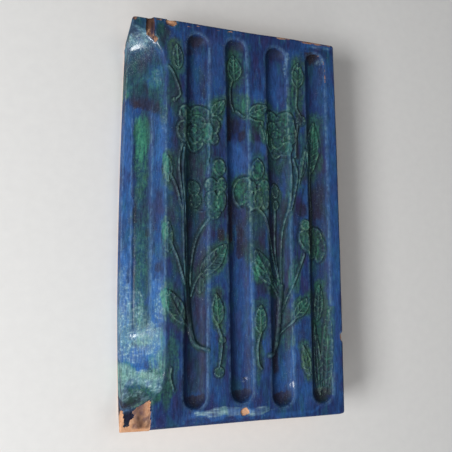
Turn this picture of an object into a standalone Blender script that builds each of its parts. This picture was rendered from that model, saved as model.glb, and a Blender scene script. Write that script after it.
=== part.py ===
"""A corner tile of a tiled stove: one hollow-backed piece of fired clay, lying on its back.

Its face carries four upright flutes and a plant relief laid over them. The left corner is cut
by a broad chamfer that runs out in a round scoop at each end and has a shallow flute of its own.
Sizes are in millimetres: x runs right from the corner line, y up from mid height, and z out
from the face plane. The solid is placed in metres with its face upwards.
"""

import bpy
import bmesh
import numpy as np
from mathutils import Matrix

MM = 0.001
NAME = "stove_tile"

# The body
WIDTH = 204.0
HEIGHT = 354.0
DEPTH = 48.0
WALL = 10.0  # of the sides, around the hollow back
PANEL = 15.0  # from the face plane to the hollow back
DRAFT = 3.0  # how far each side leans in towards the back
HOLLOW_LEFT = 14.0  # the hollow's left wall, so that the bowed side keeps 8 to 12 mm
HOLLOW_CORNER = 8.0
CUT_PAST = 5.0  # how far the hollow's cutter runs out behind the back
RIM_ROUND = 2.5  # the glazed edge round the face
FOOT_ROUND = 5.5  # the same along the bottom edge
FOOT_SHARPENS = (110.0, 175.0)  # over this stretch of x it comes down to RIM_ROUND
CORNER_RIGHT = 3.0
CORNER_LEFT = 5.0
TOP_SAG = 0.9  # the top edge is lower over the left two flutes
TOP_SAG_ENDS = (110.0, 160.0)  # and comes up again over this stretch of x
BLOCK_SAG = 2.0  # it is lower again over the corner block
BLOCK_SAG_ENDS = (14.0, 24.0)
FOOT_RISE = 0.9  # the bottom edge rises this far towards the left
RIGHT_BOW = 1.0  # the right side swells this far
RIGHT_WAIST = -20.0  # and most at this height
WAIST = -48.0  # where the left side stands out furthest
LEFT_BACK = 2.0  # its back edge there
LEFT_BOW = (4.3, 3.0)  # how far that edge curves in by the top, and by the bottom
SPUR = 4.0  # the broken lower corner stands out this far
SPUR_TOP = -150.0

# The chamfer of the corner
CHAMFER = 34.0
STOP_TOP = 164.5
STOP_BOTTOM = -159.0
CORNER_FLUTE = dict(x=(16.5, 16.5), y=(-114.0, 112.0), width=14.0, depth=4.0)

# The flutes of the face: x at their lower and upper ends, then the y of those ends
FLUTE_DEPTH = 6.5
FLUTES = (
    dict(x=(60.0, 63.0), y=(-162.0, 166.0), width=21.5),
    dict(x=(102.8, 99.5), y=(-160.0, 167.0), width=21.5),
    dict(x=(141.8, 140.3), y=(-166.0, 165.0), width=22.5),
    dict(x=(181.8, 181.8), y=(-166.0, 165.0), width=21.5),
)

# The relief
LEAF_LIFT = 1.9
LEAF_FULLNESS = 0.8  # under 1, the leaf is fuller and its widest place nearer its base
LEAF_POINT = 0.4  # the half width at which its point ends
LEAF_DISH = 0.3  # the share of its lift that is missing along its middle
PETAL_LIFT = 2.0
PETAL_DISH = 0.4
PETAL_RIM = 0.8  # the share of its reach at which it starts to fall
STEM_LIFT = 1.5
STEM_HALF = 1.5
TRUNK_HALF = 3.2
RELIEF_FADE = 4.0  # over this width beside the chamfer the plants sink into the face

# Damage
FLAKE_RIGHT = 22.0  # the lower corner block has lost its face left of this line
FLAKE_DEPTH = (2.4, 5.0)  # beside that line, and at the corner line
FLAKE_ROUND = 1.0
NOTCH = dict(x=(16.0, 23.0), depth=2.2)
CHIP_FLOOR = 0.55  # the share of a chip's reach over which it is as deep as it gets
CHIPS = (  # x, y, half width, half height, depth
    (38.5, 173.0, 6.0, 4.0, 1.6),
    (105.0, -167.0, 4.5, 3.8, 1.5),
    (204.5, -107.0, 3.6, 4.6, 2.5),
    (24.0, 158.0, 4.0, 5.0, 1.5),
)

# How finely the face is carved, and how far it is then thinned
CARVING_STEP = 1.3
KEPT_SHARE = 0.108

# Leaves: base x, y, tip x, y, half width
LEAVES = (
    (45, 131, 42.5, 154, 5.5),
    (76, 91, 88, 107, 5.0),
    (36, 29, 35.5, 53, 4.2),
    (35, -31, 36, -4, 4.6),
    (67, -51, 89, -23, 7.5),
    (50, -89, 34, -62, 7.5),
    (81, -92, 79, -66, 6.2),
    (100, 128, 99, 154, 7.4),
    (113, 96, 130, 106, 6.0),
    (127, 74, 123, 88, 3.4),
    (162, 128, 163, 153, 7.2),
    (176, 45, 182, 98, 8.5),
    (163, 40, 170, 70, 3.4),
    (118, 35, 120, 55, 6.0),
    (132, -58, 116, -27, 8.0),
    (143, -67, 133, -51, 4.2),
    (154, -88, 171, -70, 5.8),
    (120, -101, 121, -76, 6.2),
    (168, -141, 162, -113, 4.6),
    (181, -90, 184, -58, 4.6),
    (186, -156, 190, -78, 5.0),
    (183, -160, 177, -92, 4.2),
)

# Petals: centre x, y, half width, half height
PETALS = (
    # the left plant's rose
    (66, 92, 7.5, 7.5), (53.5, 91.5, 6.5, 7.0), (50, 77, 6.2, 9.5), (60.5, 66.5, 8.0, 7.0),
    (72, 76, 5.5, 7.5), (78.5, 82, 4.5, 8.5), (61.5, 78, 9.0, 10.5), (61, 78.5, 3.2, 3.2),
    # its second flower
    (82.5, 44, 5.6, 7.5), (75.5, 28, 5.5, 6.0), (84, 29, 4.6, 6.5), (75.5, 15.5, 5.0, 7.0),
    (84, 16, 4.6, 8.0), (77.5, 4, 6.0, 5.0), (60.5, 26, 5.5, 6.0), (61.5, 15, 5.2, 6.2),
    # the right plant's rose
    (136, 96.5, 6.2, 7.0), (149, 96, 6.8, 7.5), (155, 84.5, 4.2, 10.0), (148, 66.5, 6.5, 6.5),
    (135.5, 71, 5.5, 9.0), (141, 83, 9.5, 11.5), (140, 83, 3.5, 3.5),
    # the fan-shaped flower
    (105, 26, 8.0, 12.5), (114, 30, 4.8, 6.0), (125, 29.5, 6.4, 7.0), (119, 19, 4.6, 8.5),
    (127, 19, 4.8, 9.0), (112.5, 16.5, 4.8, 8.5), (139.5, 28, 3.6, 6.0), (140, 15.5, 2.9, 4.2),
    # the flower at the right
    (168, -4, 4.4, 4.4), (167, -16, 6.2, 7.0), (171, -25, 5.2, 6.5), (180, -13, 6.0, 8.0),
    (185, -28, 4.6, 9.0), (176, -26, 4.2, 8.0),
    # the small rosette and knots
    (165, 96, 4.6, 4.8), (84.5, -106, 2.9, 2.9), (81.5, -132.5, 4.4, 4.4), (41.3, 102.5, 2.0, 2.0),
)

# Stems: the points that each bends through
STEMS = (
    ((36, 132), (43, 120), (46, 109), (44, 103), (41, 102)),
    ((48.5, 64), (46, 47), (49, 14), (51, -20), (53, -58)),
    ((37, 38), (43, 26), (48, 9)),
    ((72.5, 66), (73, 58), (72.5, 49)),
    ((75, 2), (66, -12), (60, -30), (57.5, -55)),
    ((38, -22), (45, -38), (51, -58)),
    ((67, -49), (62, -58), (58, -70)),
    ((48, -90), (52, -91), (57, -96)),
    ((79, -92), (84, -105), (84, -113), (81.5, -128)),
    ((98, 129), (95, 116), (97, 104)),
    ((102.5, 102), (107, 95.5)),
    ((116, 92), (126, 89.5), (122, 80), (126, 73.5)),
    ((161.5, 128), (160, 110), (164.5, 101)),
    ((162, 91), (159, 76), (158.5, 60)),
    ((151, 70), (153.5, 40), (152, 17), (146, -12), (144, -58)),
    ((156, 57), (159.5, 43), (156, 21), (152, 9)),
    ((168, 68), (165, 55), (161, 33)),
    ((176, 46), (175, 28), (176, 12), (175.5, -6)),
    ((123, 7), (131, -14), (137, -37), (143, -62)),
    ((139, 10), (138.5, -28), (143, -60)),
    ((165, -33), (158, -52), (145, -82)),
    ((155, -89), (146, -98), (142, -103)),
    ((120.5, -101), (117, -115), (120, -131)),
    ((131, -57), (137, -62), (142, -72)),
)
TRUNKS = (
    ((54, -58), (56, -80), (59, -100), (65, -110), (71, -113)),
    ((144, -58), (142, -85), (140, -105), (135, -119), (129, -121)),
)


def clear_scene():
    for obj in list(bpy.data.objects):
        bpy.data.objects.remove(obj, do_unlink=True)


def smooth_step(low, high, value):
    t = np.clip((value - low) / (high - low), 0, 1)
    return t * t * (3 - 2 * t)


def round_over(distance, radius):
    """How far a rounded edge of this radius drops at a distance in from it."""
    t = np.clip(1 - distance / radius, 0, 1)
    return radius * (1 - np.sqrt(1 - t * t))


def capsule_distance(x, y, start, end):
    """Distance to the straight line between two points."""
    (ax, ay), (bx, by) = start, end
    dx, dy = bx - ax, by - ay
    t = np.clip(((x - ax) * dx + (y - ay) * dy) / (dx * dx + dy * dy), 0, 1)
    return np.hypot(x - ax - t * dx, y - ay - t * dy)


def flute_depth(x, y, flute, depth):
    """A flute of round section with round ends, as a depth below its face."""
    half = flute["width"] / 2
    (low_x, high_x), (low_y, high_y) = flute["x"], flute["y"]
    away = capsule_distance(x, y, (low_x, low_y + half), (high_x, high_y - half))
    radius = (half * half + depth * depth) / (2 * depth)
    inside = np.minimum(away, half)
    return np.sqrt(radius * radius - inside * inside) - (radius - depth)


def chamfer_leg(y):
    """How far the chamfer reaches in from the corner line; its stops are quarter circles."""
    over = y - (STOP_TOP - CHAMFER)
    under = STOP_BOTTOM + CHAMFER - y
    t = np.clip(np.maximum(over, under) / CHAMFER, 0, 1)
    return CHAMFER * np.sqrt(1 - t * t)


def bend_through(points, steps=7):
    """Points along the smooth line through a stem's own points."""
    p = np.array(points, float)
    p = np.vstack([2 * p[0] - p[1], p, 2 * p[-1] - p[-2]])
    route = []
    for a, b, c, d in zip(p, p[1:], p[2:], p[3:]):
        for t in np.arange(steps) / steps:
            bend = (2 * a - 5 * b + 4 * c - d) * t * t + (3 * b - a - 3 * c + d) * t ** 3
            route.append(b + 0.5 * ((c - a) * t + bend))
    return route + [p[-2]]


def stem(x, y, points, half, lift):
    route = bend_through(points)
    away = np.full(x.shape, np.inf)
    for start, end in zip(route, route[1:]):
        away = np.minimum(away, capsule_distance(x, y, start, end))
    return lift * np.sqrt(np.clip(1 - (away / half) ** 2, 0, 1))


def leaf(x, y, base_x, base_y, tip_x, tip_y, half):
    """A pointed leaf, fullest nearer its base, with a hollow along its middle."""
    dx, dy = tip_x - base_x, tip_y - base_y
    length = np.hypot(dx, dy)
    along = ((x - base_x) * dx + (y - base_y) * dy) / length ** 2
    across = ((y - base_y) * dx - (x - base_x) * dy) / length
    a = np.clip(along, 0, 1)
    outline = half * np.sin(np.pi * a ** LEAF_FULLNESS) ** LEAF_FULLNESS
    t = np.clip(np.abs(across) / np.maximum(outline, LEAF_POINT), 0, 1)
    dished = 1 - LEAF_DISH * (1 - t)
    return LEAF_LIFT * (1 - t ** 4) * dished * (outline > LEAF_POINT)


def petal(x, y, centre_x, centre_y, half_x, half_y):
    """A cupped petal, highest just inside its rim."""
    t = np.hypot((x - centre_x) / half_x, (y - centre_y) / half_y)
    dished = 1 - PETAL_DISH * (1 - t * t)
    return PETAL_LIFT * dished * (1 - smooth_step(PETAL_RIM, 1.0, t))


def relief(x, y):
    height = np.zeros(x.shape)
    for item in LEAVES:
        height = np.maximum(height, leaf(x, y, *item))
    for item in PETALS:
        height = np.maximum(height, petal(x, y, *item))
    for points in STEMS:
        height = np.maximum(height, stem(x, y, points, STEM_HALF, STEM_LIFT))
    for points in TRUNKS:
        height = np.maximum(height, stem(x, y, points, TRUNK_HALF, LEAF_LIFT))
    return height


def left_back(y):
    """The back edge of the left side, which is bowed."""
    half = HEIGHT / 2
    upper = LEFT_BOW[0] * ((y - WAIST) / (half - WAIST)) ** 2
    lower = LEFT_BOW[1] * ((y - WAIST) / (half + WAIST)) ** 2
    return LEFT_BACK + np.where(y > WAIST, upper, lower)


def left_edge(y):
    """Where the leaning left side meets the face, or the chamfer where there is one."""
    face = left_back(y) - DRAFT - SPUR * smooth_step(SPUR_TOP, -HEIGHT / 2, y)
    corner = round_over(HEIGHT / 2 - y, CORNER_LEFT)
    slope = DRAFT / DEPTH
    return (face + slope * chamfer_leg(y)) / (1 + slope) + corner


def right_edge(y):
    reach = HEIGHT / 2 - RIGHT_WAIST
    bow = RIGHT_BOW * (1 - np.clip((y - RIGHT_WAIST) / reach, -1, 1) ** 2)
    return WIDTH + bow - round_over(HEIGHT / 2 - np.abs(y), CORNER_RIGHT)


def top_edge(x):
    sag = TOP_SAG * (1 - smooth_step(*TOP_SAG_ENDS, x))
    return HEIGHT / 2 - sag - BLOCK_SAG * (1 - smooth_step(*BLOCK_SAG_ENDS, x))


def bottom_edge(x):
    return -HEIGHT / 2 + FOOT_RISE * (1 - x / WIDTH)


def foot_round(x):
    glazed = FOOT_ROUND - (FOOT_ROUND - RIM_ROUND) * smooth_step(*FOOT_SHARPENS, x)
    return np.where(x < FLAKE_RIGHT, FLAKE_ROUND, glazed)


def face_height(x, y):
    """The face, as a height over the face plane."""
    z = np.minimum(x - chamfer_leg(y), 0)
    z = z - flute_depth(x, y, CORNER_FLUTE, CORNER_FLUTE["depth"])
    for flute in FLUTES:
        z = z - flute_depth(x, y, flute, FLUTE_DEPTH)
    z = z + relief(x, y) * smooth_step(CHAMFER - RELIEF_FADE, CHAMFER, x)
    flaked = (x < FLAKE_RIGHT) & (y < STOP_BOTTOM + CHAMFER)
    flake = np.interp(x, (0, FLAKE_RIGHT), FLAKE_DEPTH[::-1])
    z = np.where(flaked, np.minimum(z, -flake), z)
    low, high = NOTCH["x"]
    notched = (x > low) & (x < high) & (y > STOP_TOP - CHAMFER)
    z = np.where(notched, np.minimum(z, -NOTCH["depth"]), z)
    for centre_x, centre_y, half_x, half_y, depth in CHIPS:
        t = np.hypot((x - centre_x) / half_x, (y - centre_y) / half_y)
        z = z - depth * (1 - smooth_step(CHIP_FLOOR, 1.0, t))
    z = z - round_over(right_edge(y) - x, RIM_ROUND)
    z = z - round_over(top_edge(x) - y, RIM_ROUND)
    return z - round_over(y - bottom_edge(x), foot_round(x))


def carved_block():
    """A closed block whose upper face is the tile's face."""
    bm = bmesh.new()
    columns = round(WIDTH / CARVING_STEP)
    rows = round(HEIGHT / CARVING_STEP)
    bmesh.ops.create_grid(bm, x_segments=columns, y_segments=rows, size=1)
    flat = np.array([v.co[:2] for v in bm.verts])
    across, up = (flat.T + 1) / 2
    y = -HEIGHT / 2 + HEIGHT * up
    x = left_edge(y) + (right_edge(y) - left_edge(y)) * across
    y = bottom_edge(x) + (top_edge(x) - bottom_edge(x)) * up
    for vert, place in zip(bm.verts, np.stack([x, y, face_height(x, y)], 1)):
        vert.co = place
    rim = [e for e in bm.edges if e.is_boundary]
    skirt = bmesh.ops.extrude_edge_only(bm, edges=rim)["geom"]
    for vert in [g for g in skirt if isinstance(g, bmesh.types.BMVert)]:
        x, y, z = vert.co
        inward = DRAFT * (1 + z / DEPTH)
        to_right = (x - left_edge(y)) / (right_edge(y) - left_edge(y))
        left = left_back(y) + x - left_edge(y)
        vert.co.x = left + (x - inward - left) * to_right
        vert.co.y = y - inward * 2 * y / HEIGHT
        vert.co.z = -DEPTH
    bmesh.ops.holes_fill(bm, edges=[e for e in bm.edges if e.is_boundary])
    bmesh.ops.triangulate(bm, faces=bm.faces)
    bmesh.ops.recalc_face_normals(bm, faces=bm.faces)
    return bm


def hollow():
    """What is open behind the panel: its section runs parallel to the face and the chamfer."""
    slant = WALL * np.sqrt(2)
    right = WIDTH - WALL - DRAFT
    open_end = -DEPTH - CUT_PAST
    section = (
        (HOLLOW_LEFT, open_end),
        (HOLLOW_LEFT, HOLLOW_LEFT - CHAMFER - slant),
        (CHAMFER + slant - PANEL, -PANEL),
        (right, -PANEL),
        (right, open_end),
    )
    length = HEIGHT / 2 - WALL - DRAFT
    bm = bmesh.new()
    face = bm.faces.new([bm.verts.new((x, -length, z)) for x, z in section])
    sweep = bmesh.ops.extrude_face_region(bm, geom=[face])["geom"]
    moved = [g for g in sweep if isinstance(g, bmesh.types.BMVert)]
    bmesh.ops.translate(bm, verts=moved, vec=(0, 2 * length, 0))
    rising = [e for e in bm.edges if e.verts[0].co.z != e.verts[1].co.z]
    bmesh.ops.bevel(bm, geom=rising, offset=HOLLOW_CORNER, segments=3, profile=0.5, affect="EDGES")
    bmesh.ops.recalc_face_normals(bm, faces=bm.faces)
    return bm


def new_object(name, bm, collection):
    """Makes an object of a mesh in millimetres, moved to the part's own frame in metres."""
    middle = (left_back(-HEIGHT / 2) - DRAFT - SPUR + WIDTH + RIGHT_BOW) / 2
    placing = Matrix.Scale(MM, 4) @ Matrix.Translation((-middle, 0, DEPTH))
    bmesh.ops.transform(bm, matrix=placing, verts=bm.verts)
    mesh = bpy.data.meshes.new(name)
    bm.to_mesh(mesh)
    bm.free()
    obj = bpy.data.objects.new(name, mesh)
    collection.objects.link(obj)
    return obj


def new_collection(name):
    collection = bpy.data.collections.new(name)
    bpy.context.scene.collection.children.link(collection)
    return collection


def glaze():
    material = bpy.data.materials.new("cobalt_glaze")
    material.use_nodes = True
    shader = material.node_tree.nodes["Principled BSDF"]
    shader.inputs["Base Color"].default_value = (0.03, 0.09, 0.24, 1)
    shader.inputs["Roughness"].default_value = 0.25
    shader.inputs["Metallic"].default_value = 0.0
    return material


def cut(obj, cutter):
    cutter.hide_render = True
    cutter.display_type = "WIRE"
    modifier = obj.modifiers.new(cutter.name, "BOOLEAN")
    modifier.operation = "DIFFERENCE"
    modifier.object = cutter


def main():
    clear_scene()
    pieces = new_collection(NAME)
    cutters = new_collection("cutters")
    tile = new_object(NAME, carved_block(), pieces)
    tile.data.materials.append(glaze())
    thin = tile.modifiers.new("thin", "DECIMATE")
    thin.ratio = KEPT_SHARE
    cut(tile, new_object("hollow_back", hollow(), cutters))


main()
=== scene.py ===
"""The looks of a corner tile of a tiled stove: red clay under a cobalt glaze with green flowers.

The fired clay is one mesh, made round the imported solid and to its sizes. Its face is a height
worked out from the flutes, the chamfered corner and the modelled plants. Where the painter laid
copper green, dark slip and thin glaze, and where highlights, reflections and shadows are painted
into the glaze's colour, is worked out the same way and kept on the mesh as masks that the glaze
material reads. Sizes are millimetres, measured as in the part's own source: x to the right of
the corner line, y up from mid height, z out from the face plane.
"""

import math
from types import SimpleNamespace

import bpy
import bmesh
import numpy as np
from mathutils import Euler, Matrix, Vector


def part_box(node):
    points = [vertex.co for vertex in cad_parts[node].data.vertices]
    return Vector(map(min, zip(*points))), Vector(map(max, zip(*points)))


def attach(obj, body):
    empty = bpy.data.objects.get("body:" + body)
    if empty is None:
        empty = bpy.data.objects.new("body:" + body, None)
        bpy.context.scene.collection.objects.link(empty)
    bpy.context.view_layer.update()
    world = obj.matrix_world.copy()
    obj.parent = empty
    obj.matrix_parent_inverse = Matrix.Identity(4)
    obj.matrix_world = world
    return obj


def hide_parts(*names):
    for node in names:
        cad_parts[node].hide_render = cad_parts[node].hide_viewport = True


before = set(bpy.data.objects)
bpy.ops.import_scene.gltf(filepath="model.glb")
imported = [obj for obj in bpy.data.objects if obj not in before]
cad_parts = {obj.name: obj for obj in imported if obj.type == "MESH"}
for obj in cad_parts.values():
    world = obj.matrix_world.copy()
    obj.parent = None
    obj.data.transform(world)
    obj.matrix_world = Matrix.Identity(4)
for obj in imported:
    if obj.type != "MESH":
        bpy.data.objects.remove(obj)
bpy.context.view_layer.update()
LOW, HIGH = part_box("stove_tile")
MM = 0.001

# The body
WIDTH = 204.0
HEIGHT = (HIGH.y - LOW.y) / MM
DEPTH = 48.0
WALL = 10.0
PANEL = 15.0
DRAFT = 3.0  # how far each side leans in towards the back
HOLLOW_LEFT = 14.0
HOLLOW_CORNER = 8.0
HOLLOW_ROUND = 5.0  # where its walls meet the panel
CUT_PAST = 5.0  # how far the hollow's cutter runs out behind the back
RIM_ROUND = 2.5
FOOT_ROUND = 5.5
FOOT_SHARPENS = (110.0, 175.0)  # over this stretch of x it comes down to RIM_ROUND
LEFT_ROUND = 1.2
CORNER_RIGHT = 3.0
CORNER_LEFT = 5.0
TOP_SAG = 0.9
TOP_SAG_ENDS = (110.0, 160.0)
BLOCK_SAG = 2.0
BLOCK_SAG_ENDS = (14.0, 24.0)
FOOT_RISE = 0.9
RIGHT_BOW = 1.0
RIGHT_WAIST = -20.0
RIGHT_REACH = 197.0  # from that waist to where the bow has gone
WAIST = -48.0
LEFT_BACK = 2.0
LEFT_BOW = (4.3, 3.0)
SPUR = 3.95
SPUR_TOP = -150.0
MIDDLE = (LEFT_BACK + LEFT_BOW[1] - DRAFT - SPUR + WIDTH + RIGHT_BOW) / 2

CHAMFER = 34.0
STOP_TOP = 164.5
STOP_BOTTOM = -159.0
CORNER_FLUTE = dict(x=(16.5, 16.5), y=(-114.0, 120.0), width=13.9, depth=3.0)
CORNER_FLUTE_FADES = ((-114.0, -92.0), (80.0, 108.0))  # over these y it sinks in and rises out
CORNER_FLUTE_FORM = (3.6, 0.25)  # its squareness and shoulder
GLAZE_LUMPS = (  # where it set thick on the chamfer: centre, spread, turn and height
    (-1.3, 148.0, 15.2, 6.8, 11, 6.5),
    (9.8, -100.1, 13.5, 5.8, 10, 3.5),
)

FLUTE_DEPTH = 6.3
FLUTE_FORM = (2.5, 1.0)
SHOULDER_SPAN = (-0.8, 2.4)  # about a flute's edge, over which its shoulder falls
FLUTES = (
    dict(x=(60.0, 63.0), y=(-162.0, 166.0), width=20.5),
    dict(x=(102.8, 99.5), y=(-160.0, 167.0), width=20.5),
    dict(x=(141.8, 140.3), y=(-166.0, 165.0), width=21.0),
    dict(x=(181.8, 181.8), y=(-166.0, 165.0), width=20.5),
)

# Uneven surfaces: how far down the middle of their waves lies, the waves' size, and a seed
FACE_WAVES = ((0.22, 26.0, 3), (0.06, 5.0, 4))
PRESSED = (0.5, 30.0, 21)  # the hollow, as the hand pressed it
PRESS_STRETCH = (2.2, 0.8)  # so that those waves are narrow and long
WIPED = (0.2, 6.0, 22)  # and as it was wiped

GRAIN = 0.96  # the spacing of the mesh over the face
SIDE_STEPS = (0.03, 0.08, 0.14, 0.21, 0.3, 0.45, 0.65, 0.82, 0.91, 1.0)  # down its sides
HOLLOW_GRID = (48, 84)
HOLLOW_STEPS = (0.15, 0.3, 0.5, 0.7, 0.85, 1.0)
SHARP_FROM = 50  # degrees between two faces that meet in a crisp edge

# The relief
HIGHEST = 1.85  # of the relief over the face plane
RELIEF_FADE = 4.0  # over this width beside the chamfer the plants sink into the face
STEM_HALF, STEM_LIFT = 1.25, 1.1
TRUNK_HALF, TRUNK_LIFT = 2.7, 1.5
TAPER = 0.35  # the share of its width that a stem loses
LINE_HALF = 1.05
LEAF_FULLNESS = 0.8  # under 1, the leaf is fuller and its widest place nearer its base
LEAF_POINT = 0.4  # the half width at which its point ends
LEAF_BODY = 0.5  # its lift within the raised edge
LEAF_EDGE = (0.1, 0.8)  # the least and the most that its edge stands over that
VEINED_FROM = 3.9  # narrower leaves have a midrib only
VEIN_SPACING = 6
VEIN_SLANT = 0.85
VEIN_HALF, MIDRIB_HALF, VEIN_LIFT = 0.75, 0.9, 0.75
PETAL_RIM = (-0.05, 0.6)  # the same of a petal's rim
PETAL_COVER = (0.9, 1.08)  # over these shares of its reach it ends
PETAL_FOLDS, FOLD_LIFT = 7, 0.22  # how many round a whole petal, and height
RIPPLES, RIPPLE_LIFT = 2.3, 0.1  # radians to the millimetre, and height
SHOWS_THROUGH = 0.45  # of what a petal is laid over
CREVICE = 0.2  # how far the clay is pressed in beside a petal

# The plants. A leaf: its base, its tip and its half width.
LEAVES = (
    (45, 131, 43, 154, 5.2), (76, 92, 87.5, 107, 5.2), (36, 29, 35.5, 53, 4.2), (36, -31, 36, -4, 4.6),
    (67, -50, 89, -23, 7.6), (50, -90, 34, -62, 7.6), (81, -92, 79, -66, 6), (100, 129, 99, 154, 7.4),
    (112, 97, 131, 106, 6), (127, 74, 123, 88, 3.4), (161.5, 128, 163, 153, 7.2), (176, 46, 182, 98, 8.2),
    (163, 40, 170, 70, 3.4), (119, 36, 120, 56, 5.6), (132, -58, 116, -27, 8.2), (143, -67, 133, -51, 4.2),
    (154, -88, 171, -70, 6), (120, -101, 121, -76, 6.2), (168, -141, 162, -113, 4.6),
    (181, -92, 184, -58, 4.8), (187, -158, 191, -80, 4.6), (182, -160, 177, -94, 4.4),
    (66, -66, 66, -50, 3.6),
)

# Petals from the back to the front: centre, half width, half height, turn and level
PETALS = (
    # the left plant's rose
    (80, 89.5, 5.2, 3.2, 10, 0.4), (79.3, 82.5, 4.4, 7, 0, 0.4), (78, 71, 4.2, 5.6, 0, 0.4),
    (65.5, 93.5, 8.4, 7.4, -12, 0.5), (52.5, 91, 7, 8.2, 25, 0.5), (49.8, 75.5, 6.2, 9.8, 4, 0.5),
    (61, 68, 8.4, 9.2, 0, 0.5), (72, 76.5, 5, 8.8, -6, 0.6), (64.5, 86.5, 6.8, 5.6, -20, 0.7),
    (61, 75, 7.2, 9.2, 0, 0.8), (61, 78.5, 2.7, 2.9, 0, 1.3),
    # its second flower
    (82.5, 45, 5.6, 7.4, 0, 0.5), (75, 29, 5.4, 6.4, 15, 0.5), (84.3, 29, 4.6, 7, -8, 0.6),
    (75.5, 15.5, 5, 8.4, 5, 0.6), (84, 15, 4.6, 9.4, -3, 0.7), (77.5, 3.5, 6, 5, 10, 0.5),
    (60.5, 26, 5.8, 6.8, 15, 0.4), (62, 15, 5.2, 6.4, 0, 0.5),
    # the right plant's rose
    (137, 95, 6.8, 8.6, 15, 0.5), (149.8, 95, 8, 8.4, -18, 0.5), (155.3, 83, 4.2, 11, 0, 0.5),
    (150, 68, 5.6, 7.4, -20, 0.5), (141, 67, 6, 8.6, 0, 0.4), (134.8, 74.5, 5.4, 10, 8, 0.5),
    (145.5, 86.5, 7.2, 9, -10, 0.7), (138.5, 85, 5.8, 8.6, 10, 0.6), (142.5, 75.5, 6.8, 8.4, 0, 0.7),
    (156.6, 77.5, 2.6, 4.6, 0, 0.7), (141, 82, 3.2, 3.6, 0, 1.2),
    # the fan-shaped flower
    (105.5, 25.5, 8, 13.5, -14, 0.5), (120, 46, 5.8, 9, 0, 0.5), (114, 29.5, 4, 5, 15, 0.6),
    (126, 29.5, 6.2, 7.2, -10, 0.6), (112.5, 17.5, 4.4, 9.4, 12, 0.6), (127.3, 18.5, 4.4, 9.5, -8, 0.6),
    (119.5, 18.5, 4.2, 9, 0, 0.8), (139.3, 27.5, 3.7, 6.8, 8, 0.5), (140, 14.5, 2.9, 5, -8, 0.5),
    # the flower at the right
    (184.5, -25, 5.4, 12.5, -5, 0.4), (180, -13.5, 6.8, 8.5, -20, 0.5), (176, -26, 5.2, 9, 0, 0.4),
    (167, -18, 6.2, 10, 20, 0.6), (167.5, -3.8, 5.2, 4.8, 0, 0.8),
    # the rosette and the knots
    (165.3, 96, 4.8, 5, 0, 0.6), (84.5, -106, 2.9, 2.9, 0, 0.9), (81.5, -132.5, 4.4, 4.4, 0, 0.5),
    (41.3, 102.5, 1.9, 1.9, 0, 0.7),
)

# Stems: x and y in turn of the points that each bends through
STEMS = (
    (36, 132, 40, 127, 45.5, 113, 46, 107, 41.5, 102.5), (48.5, 64, 45.5, 45, 49, 12, 50, -20, 52, -58),
    (50.5, 60, 49, 38, 51, 12, 53, -30, 54, -60), (36.5, 38, 43, 26, 47.5, 9), (72.5, 66, 73.5, 58, 72, 48),
    (75, 2, 66, -12, 60, -30, 57.5, -50, 57.5, -60), (37, -20, 44, -35, 48.5, -50, 53, -62),
    (67, -48, 62, -57, 58, -68), (48, -90, 52, -91, 57, -96), (79.5, -92, 83.5, -103, 84, -112, 81.5, -128),
    (98, 129, 95.5, 120, 96, 108, 99, 100), (102, 100.5, 108, 95), (113, 93, 118, 91, 124.5, 91, 125.5, 87),
    (161.5, 128, 160.5, 114, 160.5, 108, 164.5, 101), (161.5, 91, 159.5, 78, 158.5, 60),
    (151.5, 70, 154, 44, 152.3, 18, 147.5, -3, 145, -20, 144, -58), (156, 58, 160, 43, 156, 21, 152.5, 9),
    (169, 68, 165.5, 55, 161.5, 34), (176, 50, 174.8, 34, 176, 12, 175.5, -8),
    (112, 8, 118, 10, 126, 3, 131, -13, 137, -37, 143, -60), (139, 10, 138.5, -28, 142.5, -58),
    (165.5, -31, 158, -49, 150, -67, 144, -84), (155, -89, 149, -96, 142, -103),
    (120.5, -101, 117.5, -112, 118, -126, 121, -132), (131, -57, 137, -62, 142, -72),
    (39, -127, 38.5, -135, 41.5, -145),
)
TRUNKS = (
    (53.5, -60, 55, -80, 58, -100, 63, -110, 71, -113.5),
    (144, -60, 142, -84, 139.5, -106, 135, -119, 129, -121),
)

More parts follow.
